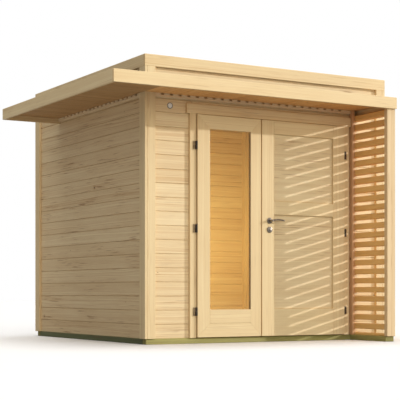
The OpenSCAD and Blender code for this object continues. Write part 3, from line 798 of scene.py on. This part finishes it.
def rail(outer, inner, rebated, mitred):
    """A rail of the glazed leaf, from its outer edge to its inner edge, with or without a rebate."""
    toward = math.copysign(REBATE, outer - inner)
    section = [[LEAF_LOW[1], outer], [LEAF_LOW[1], inner]]
    if rebated:
        section += [[GLASS_LOW[1], inner], [GLASS_LOW[1], inner + toward], [LEAF_HIGH[1], inner + toward]]
    else:
        section += [[LEAF_HIGH[1], inner]]
    section = eased(np.array(section + [[LEAF_HIGH[1], outer]]), LEAF_EDGE)
    share = (section[:, 1] - outer) / (inner - outer) if mitred else np.ones(len(section))
    left = LEAF_LOW[0] + share * (sight_low[0] - LEAF_LOW[0]) + MITRE_GAP
    right = LEAF_HIGH[0] - share * (LEAF_HIGH[0] - sight_high[0]) - MITRE_GAP
    return carried(section, 0, left, right, 1)


def bead(along, outer, inner):
    """A glazing bead with a sloping face, mitred at 45 degrees: its ends follow its own width."""
    y0, y1 = BEAD_LOW[1], BEAD_HIGH[1]
    slope = inner + (outer - inner) * 0.45
    plane = np.array([[outer, y0], [inner, y0], [inner, y0 + 3 * MM], [slope, y1], [outer, y1]])
    inset = np.abs(plane[:, 0] - outer) + MITRE_GAP / 2
    if along == 2:
        return carried(plane, 2, BEAD_LOW[2] + inset, BEAD_HIGH[2] - inset, 1)
    return carried(plane[:, ::-1], 0, BEAD_LOW[0] + inset, BEAD_HIGH[0] - inset, 1)


timber("glazed_leaf_stiles", joined(stile(LEAF_LOW[0], sight_low[0]), stile(LEAF_HIGH[0], sight_high[0])),
       "leaf", ["left_leaf_stiles"], "left_door")
kick_foot = LEAF_LOW[2] + RAIL_W
timber("glazed_leaf_rails",
       joined(rail(LEAF_HIGH[2], sight_high[2], True, True), rail(LEAF_LOW[2], kick_foot, False, True),
              rail(kick_foot + 2 * MITRE_GAP, sight_low[2], True, False)),
       "leaf", ["left_leaf_rails"], "left_door")
timber("glazing_beads",
       joined(bead(2, BEAD_LOW[0], sight_low[0]), bead(2, BEAD_HIGH[0], sight_high[0]),
              bead(0, BEAD_LOW[2], sight_low[2]), bead(0, BEAD_HIGH[2], sight_high[2])),
       "leaf", ["left_leaf_beads"], "left_door")
print("glass opening", ((sight_high - sight_low) / MM).round(), "mm")

# %% [markdown]
# ## The panelled leaf
# Stiles run through from foot to head, three rails sit between them, and two wide panels with lying
# grain sit back in grooves.

# %% Panelled leaf
plain_boards("right_leaf_stiles", 2, "leaf", LEAF_EDGE, "panel_leaf_stiles", "right_door")
plain_boards("right_leaf_rails", 0, "leaf", LEAF_EDGE, "panel_leaf_rails", "right_door")
stiles = solids_of("right_leaf_stiles", 0)
rails = solids_of("right_leaf_rails", 2)
lows, highs = solids_of("right_leaf_panels", 2)
lows[:, 0], highs[:, 0] = stiles[1][0][0], stiles[0][1][0]
lows[:, 2], highs[:, 2] = rails[1][:2, 2], rails[0][1:, 2]
core_lows, core_highs = lows + (-5 * MM, 4 * MM, -5 * MM), highs + (5 * MM, -4 * MM, 5 * MM)
lows, highs = lows + (1.5 * MM, 0, 1.5 * MM), highs - (1.5 * MM, 0, 1.5 * MM)
panels = joined(boards(lows, highs, 0, 3 * MM), boards(core_lows, core_highs, 0))
timber("panel_leaf_panels", panels, "panel", ["right_leaf_panels"], "right_door")
print("panels", ((highs - lows) / MM).round().tolist())

# %% [markdown]
# ## Metal, glass and felt
# The hinges' plates are bronze. Their knuckles are dull, and their dark colour is painted shade, the
# shade that they stand in. The lever and its plates are brushed steel, the round plate by the door is
# satin aluminium. Scratches and brushing are noise stretched in one direction. The felt's mineral
# chips are small cells of different greys.

# %% Node group: worn surface
def worn_group():
    """Fine brushing and soft dirt: noise stretched along one axis, and large soft noise.

    Brushing drives the roughness and a slight relief, dirt the colour.
    """
    tree, given, result = group("worn_surface", [
        ("Vector", "v", None), ("Clean", "c", (0.6, 0.6, 0.6, 1)), ("Dirty", "c", (0.3, 0.3, 0.3, 1)),
        ("Shine", "f", 0.3), ("Spread", "f", 0.2), ("Fineness", "f", 900.0),
    ], [("Color", "c"), ("Roughness", "f"), ("Height", "f")])
    xyz = tree.nodes.new("ShaderNodeSeparateXYZ")
    tree.links.new(given["Vector"], xyz.inputs[0])
    x, y, z = xyz.outputs
    coarse = calc(tree, "MULTIPLY", given["Fineness"], 0.04)
    lines = add(tree, "CombineXYZ", {0: calc(tree, "MULTIPLY", x, coarse),
                                     1: calc(tree, "MULTIPLY", y, given["Fineness"]),
                                     2: calc(tree, "MULTIPLY", z, given["Fineness"])})
    brush = add(tree, "TexNoise", {"Vector": lines, "Scale": 1.0, "Detail": 3.0})
    dirt = add(tree, "TexNoise", {"Vector": given["Vector"], "Scale": 60.0, "Detail": 3.0})
    soil = remap(tree, dirt, 0.42, 0.72)
    tree.links.new(blend(tree, soil, given["Clean"], given["Dirty"]), result.inputs["Color"])
    rough = calc(tree, "MULTIPLY_ADD", brush, given["Spread"], given["Shine"])
    tree.links.new(calc(tree, "MULTIPLY_ADD", soil, 0.1, rough), result.inputs["Roughness"])
    tree.links.new(brush, result.inputs["Height"])
    return tree


WORN = worn_group()


def metal(name, clean, dirty, shine, spread, metallic, fineness=900.0, bump=0.15):
    """A metal or painted finish on Object coordinates."""
    made, tree, shader = finish_of(name, metallic=metallic)
    worn = tree.nodes.new("ShaderNodeGroup")
    worn.node_tree = WORN
    tree.links.new(add(tree, "TexCoord", out=3), worn.inputs["Vector"])
    for socket, value in {"Clean": linear(*clean), "Dirty": linear(*dirty), "Shine": shine,
                          "Spread": spread, "Fineness": fineness}.items():
        worn.inputs[socket].default_value = value
    tree.links.new(worn.outputs["Color"], shader.inputs["Base Color"])
    tree.links.new(worn.outputs["Roughness"], shader.inputs["Roughness"])
    relief = add(tree, "Bump", {"Strength": bump, "Distance": 0.0002, "Height": worn.outputs["Height"]})
    tree.links.new(relief, shader.inputs["Normal"])
    return made


# Knuckles: painted shade, a dark colour for the shade they stand in.
KNUCKLE_PAINTED_SHADE = metal("dark_hinge", (62, 50, 40), (42, 34, 27), 0.5, 0.2, 0.2)
BRONZE = metal("bronze_plate", (178, 153, 118), (142, 121, 91), 0.55, 0.25, 0.2)
STEEL = metal("brushed_steel", (158, 148, 138), (112, 102, 92), 0.2, 0.25, 1.0)
PLATE = metal("satin_aluminium", (140, 146, 156), (104, 110, 120), 0.35, 0.2, 0.85, 500.0)
ENAMEL = metal("white_enamel", (250, 250, 248), (232, 232, 230), 0.25, 0.1, 0.0, 300.0)
# Screw cuts and the keyway: painted shade, a near-black colour for the shade inside them.
SLOT_PAINTED_SHADE = metal("dark_slot", (20, 18, 16), (10, 9, 8), 0.6, 0.1, 0.2)


def felt_finish():
    """Mineral roofing felt: chips a few millimetres wide in greys, with soft weathering over them."""
    made, tree, shader = finish_of("mineral_felt")
    place = add(tree, "TexCoord", out=3)
    chips = tree.nodes.new("ShaderNodeTexVoronoi")
    chips.inputs["Scale"].default_value = 420.0
    tree.links.new(place, chips.inputs["Vector"])
    grey = tree.nodes.new("ShaderNodeSeparateColor")
    tree.links.new(chips.outputs["Color"], grey.inputs[0])
    colour = blend(tree, grey.outputs[0], linear(52, 52, 52), linear(104, 102, 98))
    weather = add(tree, "TexNoise", {"Vector": place, "Scale": 2.5, "Detail": 5.0})
    colour = blend(tree, remap(tree, weather, 0.4, 0.75), colour, linear(88, 86, 78))
    tree.links.new(colour, shader.inputs["Base Color"])
    tree.links.new(calc(tree, "MULTIPLY_ADD", grey.outputs[1], 0.15, 0.8), shader.inputs["Roughness"])
    relief = add(tree, "Bump", {"Strength": 0.8, "Distance": 0.001,
                                "Height": calc(tree, "SUBTRACT", 1.0, chips.outputs["Distance"])})
    tree.links.new(relief, shader.inputs["Normal"])
    return made


FELT = felt_finish()


def glass_finish():
    """Clear float glass with a trace of grime that dulls its gloss."""
    made, tree, shader = finish_of("pane_glass", (0.97, 0.98, 0.97, 1), 0.02)
    shader.inputs["Transmission Weight"].default_value = 1.0
    shader.inputs["IOR"].default_value = 1.5
    grime = add(tree, "TexNoise", {"Vector": add(tree, "TexCoord", out=3), "Scale": 7.0, "Detail": 6.0})
    tree.links.new(remap(tree, grime, 0.35, 0.8, 0.0, 0.05), shader.inputs["Roughness"])
    return made


GLASS = glass_finish()
pane = frame["nodes"]["left_leaf_glass"]
pane.data.materials.clear()
pane.data.materials.append(GLASS)
print("finishes:", len(bpy.data.materials))

# %% [markdown]
# ## Round pieces
# Knuckles, plates and screw heads are turned: a profile of radius against height goes round an axis.
# The points are one grid, rings by steps round the axis, and the first and last ring are closed by a
# face each.

# %% Turned shapes
STEPS = 32


def turned(profile, centre, axis, steps=STEPS):
    """A solid of revolution: radius x (cosine, sine) of the turn, at each height of the profile.

    profile is a list of (radius, height) from one end to the other; the height runs along the axis.
    """
    profile = np.asarray(profile, float)
    turn = np.arange(steps) * 2 * math.pi / steps
    others = [a for a in range(3) if a != axis]
    points = np.zeros((len(profile), steps, 3))
    points[:, :, others[0]] = profile[:, :1] * np.cos(turn)
    points[:, :, others[1]] = profile[:, :1] * np.sin(turn)
    points[:, :, axis] = profile[:, 1:]
    ring = np.arange(steps)
    nxt = np.roll(ring, -1)
    first = steps * np.arange(len(profile) - 1)[:, None]
    sides = np.stack([first + ring, first + nxt, first + steps + nxt, first + steps + ring], axis=-1)
    last = steps * (len(profile) - 1)
    faces = [*sides.reshape(-1, 4).tolist(), ring[::-1].tolist(), (ring + last).tolist()]
    rising = profile[-1, 1] > profile[0, 1]
    if rising == (axis == 1):
        faces = [face[::-1] for face in faces]
    return shape_of(points.reshape(-1, 3) + np.asarray(centre, float), faces)


def rounded_end(radius, height, out, roundness, steps=4):
    """Profile points of a rounded rim: a quarter circle from the side to the flat end."""
    turn = np.linspace(0, math.pi / 2, steps + 1)
    return [(radius - roundness * (1 - math.cos(t)), height - out * roundness * (1 - math.sin(t)))
            for t in turn]


def drum(radius, start, end, roundness):
    """Profile of a short cylinder with rounded rims."""
    out = math.copysign(1, end - start)
    return (rounded_end(radius, start, -out, roundness)[::-1] + rounded_end(radius, end, out, roundness))


# %% [markdown]
# ## Hinges
# Each hinge is a pair of knuckles on one pin. The lower knuckle belongs to the frame: a web joins it to
# a bronze plate that is screwed to the casing's face. The upper knuckle belongs to the leaf, and its
# plate lies on the leaf's edge, so the leaf can be lifted off.

# %% Hinges
KNUCKLE_R = 8 * MM
PLATE_T = 3 * MM
NEAR_PIN = 200 * MM
joint_at = {j["name"]: np.array(j["pos_m"]) for j in frame["joints"]}


def screw_head(centre, axis, out, radius=3.4 * MM):
    """A countersunk head: a flat dome, 0.6 mm proud, with a cross cut shown as two dark bars that paint the
    shade in the cut.
    """
    dome = turned([(radius, 0), (radius * 0.96, out * 0.3 * MM), (radius * 0.7, out * 0.55 * MM),
                   (radius * 0.25, out * 0.6 * MM)], centre, axis, 14)
    others = [a for a in range(3) if a != axis]
    low, high = np.tile(centre, (2, 1)), np.tile(centre, (2, 1))
    for k in (0, 1):
        low[k, others[k]] -= radius * 0.6
        high[k, others[k]] += radius * 0.6
        low[k, others[1 - k]] -= radius * 0.14
        high[k, others[1 - k]] += radius * 0.14
    low[:, axis] += min(0, out * 0.7 * MM)
    high[:, axis] += max(0, out * 0.7 * MM)
    return dome, boards(low, high, others[0], 0.05 * MM)


def span(a, b, low, high):
    """Corner pair of a box between two values of x, in any order, with the other coordinates given."""
    return np.array([min(a, b), *low]), np.array([max(a, b), *high])


def knuckle(pin, foot, top):
    """A knuckle on the pin's axis, with softly rounded rims."""
    return turned(drum(KNUCKLE_R, foot, top, 1.2 * MM), (pin[0], pin[1], 0), 2)


def leaf_half(low, high, pin):
    """The leaf's half of a hinge from its box: the upper knuckle and the plate on the leaf's edge."""
    side = 1 if high[0] - pin[0] > pin[0] - low[0] else -1
    edge = high[0] if side > 0 else low[0]
    plate = span(edge, edge - side * PLATE_T, (pin[1], low[2]), (high[1], high[2]))
    shapes, slots = [boards(*plate, 2, 0.5 * MM)], []
    for share in (0.25, 0.75):
        place = (edge - side * PLATE_T, high[1] - 7 * MM, low[2] + share * (high[2] - low[2]))
        head, slot = screw_head(place, 0, -side, 2.8 * MM)
        shapes.append(head)
        slots.append(slot)
    return knuckle(pin, low[2], high[2]), shapes, slots


def frame_half(low, high, pin):
    """The frame's half of a hinge from its box: lower knuckle, web, plate on the casing, three screws."""
    side = -1 if pin[0] - low[0] > high[0] - pin[0] else 1
    far = low[0] if side < 0 else high[0]
    middle = (low[2] + high[2]) / 2 - FIT
    plate = span(pin[0], far, (high[1] - PLATE_T, low[2]), (high[1], high[2]))
    web = span(pin[0], pin[0] + side * KNUCKLE_R, (pin[1], low[2]), (high[1] - PLATE_T, middle))
    shapes, slots = [boards(*plate, 2, 0.5 * MM)], []
    for share in (0.16, 0.5, 0.84):
        place = (far - side * 9 * MM, high[1] - PLATE_T, low[2] + share * (high[2] - low[2]))
        head, slot = screw_head(place, 1, -1)
        shapes.append(head)
        slots.append(slot)
    return joined(knuckle(pin, low[2], middle), boards(*web, 2, 0.5 * MM)), shapes, slots


left_pin, right_pin = joint_at["left_door_hinge"], joint_at["right_door_hinge"]
for body, node, half in (("left_door", "left_leaf_hinges", leaf_half),
                         ("right_door", "right_leaf_hinges", leaf_half),
                         ("house", "frame_hinges", frame_half)):
    made = []
    for low, high in zip(*solids_of(node, 0)):
        made.append(half(low, high, left_pin if abs(low[0] - left_pin[0]) < NEAR_PIN else right_pin))
    knuckles, plates, slots = zip(*made)
    piece(node + "_knuckles", joined(*knuckles), KNUCKLE_PAINTED_SHADE, body, [node], smooth=True)
    piece(node + "_plates", joined(*sum(plates, [])), BRONZE, body, smooth=True)
    piece(node + "_screw_slots", joined(*sum(slots, [])), SLOT_PAINTED_SHADE, body)
    print(node, len(made), "of", round(np.ptp(knuckles[0]["points"][:, 2]) / MM), "mm")

# %% [markdown]
# ## Lever, plates and lock
# The lever is a round bar bent to a flat arch, with a soft end. Its section is carried along an arc
# and shrinks to nothing over the last few millimetres, like half a ball. Two round plates cover the
# bores on each face of the leaf, and the lower one carries the lock cylinder.

# %% Lever handle
HANDLE_LOW, HANDLE_HIGH = box_of("lever_handle")
LEVER_AT = joint_at["lever_turn"]
PLATES = solids_of("lock_plates", 1)
LEVER_R = 8 * MM
NECK_R = 9 * MM
ROSE_R = (PLATES[1][0][0] - PLATES[0][0][0]) / 2
lever_reach = HANDLE_HIGH[0] - LEVER_AT[0] - LEVER_R * 0.1


def lever_bar(y):
    """The arched bar: a circle's arc from the neck outward, its section a slightly flat circle.

    The arc rises by its sagitta s over the chord c, so its radius is (c x c / 4 + s x s) / (2 s). The
    section's half height and half depth stay level and fall as a half ball's over the last stretch.
    """
    rise, rings, steps = 7 * MM, 28, 24
    chord = lever_reach
    radius = (chord * chord / 4 + rise * rise) / (2 * rise)
    spread = math.asin(chord / 2 / radius)
    t = np.concatenate([np.linspace(0, 0.93, rings - 8, endpoint=False),
                        1 - 0.07 * np.cos(np.linspace(0, math.pi / 2, 8))])
    angle = math.pi / 2 + spread - 2 * spread * t
    centre = np.array([LEVER_AT[0] + chord / 2, y, LEVER_AT[2] + rise - radius])
    out = np.stack([np.cos(angle), np.zeros_like(angle), np.sin(angle)], axis=1)
    ball = np.sqrt(np.clip(1 - ((t - 0.93) / 0.07).clip(0, 1) ** 2, 0.0004, 1))
    size = ball * (LEVER_R - 1.2 * MM * t)
    turn = np.arange(steps) * 2 * math.pi / steps
    points = (centre + radius * out)[:, None, :] + size[:, None, None] * (
        out[:, None, :] * np.cos(turn)[None, :, None] * 0.92
        + np.array([0, 1.0, 0]) * np.sin(turn)[None, :, None])
    ring, nxt = np.arange(steps), np.roll(np.arange(steps), -1)
    first = steps * np.arange(len(t) - 1)[:, None]
    sides = np.stack([first + ring, first + nxt, first + steps + nxt, first + steps + ring], axis=-1)
    faces = [*sides.reshape(-1, 4).tolist(), ring[::-1].tolist(), (ring + steps * (len(t) - 1)).tolist()]
    return shape_of(points.reshape(-1, 3), faces)


def neck(outer, inner):
    """The neck from the lever's axis to the leaf, with a collar."""
    out = math.copysign(1, outer - inner)
    profile = rounded_end(NECK_R, outer, out, 3 * MM)[::-1] + [(NECK_R, inner)]
    return turned(profile, (LEVER_AT[0], 0, LEVER_AT[2]), 1)


front_axis = HANDLE_LOW[1] + NECK_R
back_axis = HANDLE_HIGH[1] - NECK_R
grip = joined(lever_bar(front_axis), lever_bar(back_axis), neck(HANDLE_LOW[1], LEAF_LOW[1] - FIT),
              neck(HANDLE_HIGH[1], LEAF_HIGH[1] + FIT))
piece("lever_pair", grip, STEEL, "handle", ["lever_handle"], smooth=True)


def rose(y_leaf, y_face, z, nose):
    """A round plate with a rounded rim; round the lever it is a ring, below it carries the cylinder."""
    out = math.copysign(1, y_face - y_leaf)
    rim = [(ROSE_R, y_leaf)] + rounded_end(ROSE_R, y_face, out, 2.5 * MM)
    if nose:
        rim += [(NECK_R + 1 * MM, y_face), (NECK_R, y_face + out * 0.4 * MM)]
        rim += rounded_end(NECK_R, nose, out, 0.8 * MM)
    else:
        rim += [(NECK_R + 0.3 * MM, y_face + out * 0.2 * MM), (NECK_R + 0.3 * MM, y_face - out * 4 * MM)]
    return turned(rim, (LEVER_AT[0], 0, z), 1)


roses, slots = [], []
for leaf_face, low_side in ((LEAF_LOW[1], True), (LEAF_HIGH[1], False)):
    levers = [i for i in range(4) if (PLATES[0][i][1] < leaf_face - 1 * MM) == low_side]
    upper = max(levers, key=lambda i: PLATES[0][i][2])
    lower = min(levers, key=lambda i: PLATES[0][i][2])
    side = 0 if low_side else 1
    face_y = PLATES[side][upper][1]
    nose_y = PLATES[side][lower][1]
    lock_z = (PLATES[0][lower][2] + PLATES[1][lower][2]) / 2
    roses += [rose(leaf_face, face_y, LEVER_AT[2], None), rose(leaf_face, face_y, lock_z, nose_y)]
    out = -1 if low_side else 1
    # The keyway is a dark bar: painted shade for the hole of the lock.
    key = np.array([[LEVER_AT[0] - 0.9 * MM, nose_y, lock_z - 4.5 * MM],
                    [LEVER_AT[0] + 0.9 * MM, nose_y, lock_z + 3.5 * MM]])
    key[0, 1], key[1, 1] = sorted((nose_y - out * 1 * MM, nose_y + out * 0.1 * MM))
    slots.append(boards(key[0], key[1], 2, 0.05 * MM))
piece("lock_plate_discs", joined(*roses), STEEL, "right_door", ["lock_plates"], smooth=True)
piece("lock_key_slots", joined(*slots), SLOT_PAINTED_SHADE, "right_door")
print("lever reach", round(lever_reach / MM), "mm")

# %% [markdown]
# ## The round plate beside the door
# A bare white disc in an aluminium rim, fixed to the top wall board.

# %% Round plate
disc_low, disc_high = box_of("badge")
disc_r = (disc_high[0] - disc_low[0]) / 2
disc_profile = ([(disc_r, disc_high[1])] + rounded_end(disc_r, disc_low[1], -1, 1.5 * MM)
                + [(disc_r - 3.5 * MM, disc_low[1]), (disc_r - 4.5 * MM, disc_low[1] + 1.2 * MM)])
disc_middle = ((disc_low[0] + disc_high[0]) / 2, 0, (disc_low[2] + disc_high[2]) / 2)
face_profile = [(disc_r - 4.5 * MM, disc_low[1] + 1.2 * MM), (disc_r - 5 * MM, disc_low[1] + 0.8 * MM),
                (disc_r - 14 * MM, disc_low[1] + 0.3 * MM)]
piece("round_plate_face", turned(face_profile, disc_middle, 1, 48), ENAMEL, smooth=True)
piece("round_plate", turned(disc_profile, disc_middle, 1, 48), PLATE, "house", ["badge"],
      smooth=True)

# %% [markdown]
# ## Roofing felt
# Strips 1 m wide are laid from the low edge up, and each overlaps the last by 80 mm. Seen in section
# the surface is a row of long shallow steps, so the height is a function of the place across.

# %% Felt with laps
STRIP = 1000 * MM
LAP = 80 * MM
FELT_T = box_of("roof_felt")[1][2] - box_of("roof_deck")[1][2]


def felt_sheet(low, high, across):
    """A felt surface with laps, closed below: height = 1 thickness, 2 thicknesses on each lap.

    At each lap the height rises over 4 mm, stays for 80 mm and falls over 25 mm, where the upper
    strip leaves the lower one.
    """
    along = 1 - across
    width = high[across] - low[across]
    laps = low[across] + np.arange(STRIP, width - LAP, STRIP)
    place = np.sort(np.concatenate([[low[across], high[across]], laps, laps + 4 * MM, laps + LAP,
                                    laps + LAP + 25 * MM]))
    lift = np.zeros(len(place))
    for lap in laps:
        lift = np.maximum(lift, np.interp(place, [lap, lap + 4 * MM, lap + LAP, lap + LAP + 25 * MM],
                                          [0, 1, 1, 0]))
    top = low[2] + FELT_T * (1 + lift)
    section = np.concatenate([np.stack([place, top], axis=1),
                              [[high[across], low[2]], [low[across], low[2]]]])
    return carried(section, along, low[along], high[along], 2)


canopy_front = box_of("canopy_front_boards")
canopy_left = box_of("canopy_left_boards")
roof_low, roof_high = box_of("roof_deck")
felts = []
for low, high, across in (
        ([roof_low[0], roof_low[1], roof_high[2]], [roof_high[0], roof_high[1], roof_high[2]], 1),
        ([canopy_left[1][0], canopy_front[0][1], canopy_front[1][2]],
         [canopy_front[1][0], canopy_front[1][1], canopy_front[1][2]], 0),
        ([canopy_left[0][0], canopy_left[0][1], canopy_left[1][2]],
         [canopy_left[1][0], canopy_left[1][1], canopy_left[1][2]], 1)):
    felts.append(felt_sheet(np.array(low), np.array(high), across))
piece("roof_felt_sheets", joined(*felts), FELT, "house", ["roof_felt"])
print("felt sheets", len(felts))

# %% [markdown]
# ## Studio
# Low sun from the right throws the slats' stripes on the door. Two soft lights from the front, one high
# and one low, and a pale sky fill the shade. The low sun isn't linked to the floor, so the house has a
# soft shadow under it instead of a long hard one beside it. The floor looks near white to the camera
# but throws only a third of its light back up. A warm light in the room shows through the pane.

# %% Floor, lights and world
def plain_floor():
    """A large flat sheet under the house."""
    half = 40.0
    mesh = bpy.data.meshes.new("studio_floor")
    mesh.from_pydata([(-half, -half, 0), (half, -half, 0), (half, half, 0), (-half, half, 0)], [],
                     [(0, 1, 2, 3)])
    made, tree, shader = finish_of("studio_floor", roughness=0.9)
    soft = add(tree, "TexNoise", {"Vector": add(tree, "TexCoord", out=3), "Scale": 0.6})
    tree.links.new(remap(tree, soft, 0.2, 0.8, 0.85, 0.95), shader.inputs["Roughness"])
    shade = blend(tree, add(tree, "LightPath"), (0.29, 0.29, 0.28, 1), (0.96, 0.96, 0.96, 1))
    tree.links.new(shade, shader.inputs["Base Color"])
    mesh.materials.append(made)
    floor = bpy.data.objects.new("studio_floor", mesh)
    scene.collection.objects.link(floor)
    floor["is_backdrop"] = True
    return floor


def lamp(name, kind, direction, strength, colour=(1, 1, 1), place=(0, 0, 5), **settings):
    """A light that shines along a direction."""
    data = bpy.data.lights.new(name, kind)
    data.energy = strength
    data.color = colour
    for key, value in settings.items():
        setattr(data, key, value)
    made = bpy.data.objects.new(name, data)
    made.location = place
    made.rotation_mode = "QUATERNION"
    made.rotation_quaternion = Vector(direction).to_track_quat("-Z", "Y")
    scene.collection.objects.link(made)
    return made


SUN_DIRECTION = (-0.841, 0.492, -0.223)
floor = plain_floor()
key = lamp("key_sun", "SUN", SUN_DIRECTION, 1.96, (1.0, 0.98, 0.94), angle=math.radians(1.0))
lamp("front_fill", "SUN", (0.24, 0.84, -0.5), 1.1, (1.0, 0.97, 0.92), angle=math.radians(80))
low_fill = lamp("low_fill", "SUN", (-0.28, 1, -0.06), 0.68, (1.0, 0.87, 0.57), angle=math.radians(40))
low_fill.visible_glossy = low_fill.visible_transmission = False
lamp("overhead", "SUN", (0, 0, -1), 2.1, angle=math.radians(44))
not_floor = bpy.data.collections.new("lit_by_sun")
scene.collection.children.link(not_floor)
key.light_linking.receiver_collection = not_floor
for made in [o for o in scene.objects if o.type == "MESH" and o != floor]:
    not_floor.objects.link(made)

room_low, room_high = box_of("floor_boards")
glow = lamp("room_glow", "AREA", (0.4, 1, 0.02), 13.4, (1.0, 0.80, 0.36),
            place=((room_low[0] + room_high[0]) / 2 - 0.6, room_low[1] + 0.15, 0.85), shape="RECTANGLE",
            size=0.8, size_y=0.8, spread=math.radians(86))
glow.visible_camera = glow.visible_transmission = glow.visible_glossy = False

world = bpy.data.worlds.new("pale_sky")
world.use_nodes = True
sky = world.node_tree
sky_light = sky.nodes["Background"]
sky_light.inputs["Color"].default_value = (1.0, 0.95, 0.88, 1)
sky_light.inputs["Strength"].default_value = 0.28
seen = add(sky, "Background", {"Color": (1, 1, 1, 1), "Strength": 1.0})
by_camera = add(sky, "LightPath")
mixed = add(sky, "MixShader", {0: by_camera, 1: sky_light.outputs[0], 2: seen})
sky.links.new(mixed, sky.nodes["World Output"].inputs["Surface"])
scene.world = world
scene.view_settings.view_transform = "Standard"

# %% Sizes
low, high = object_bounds()
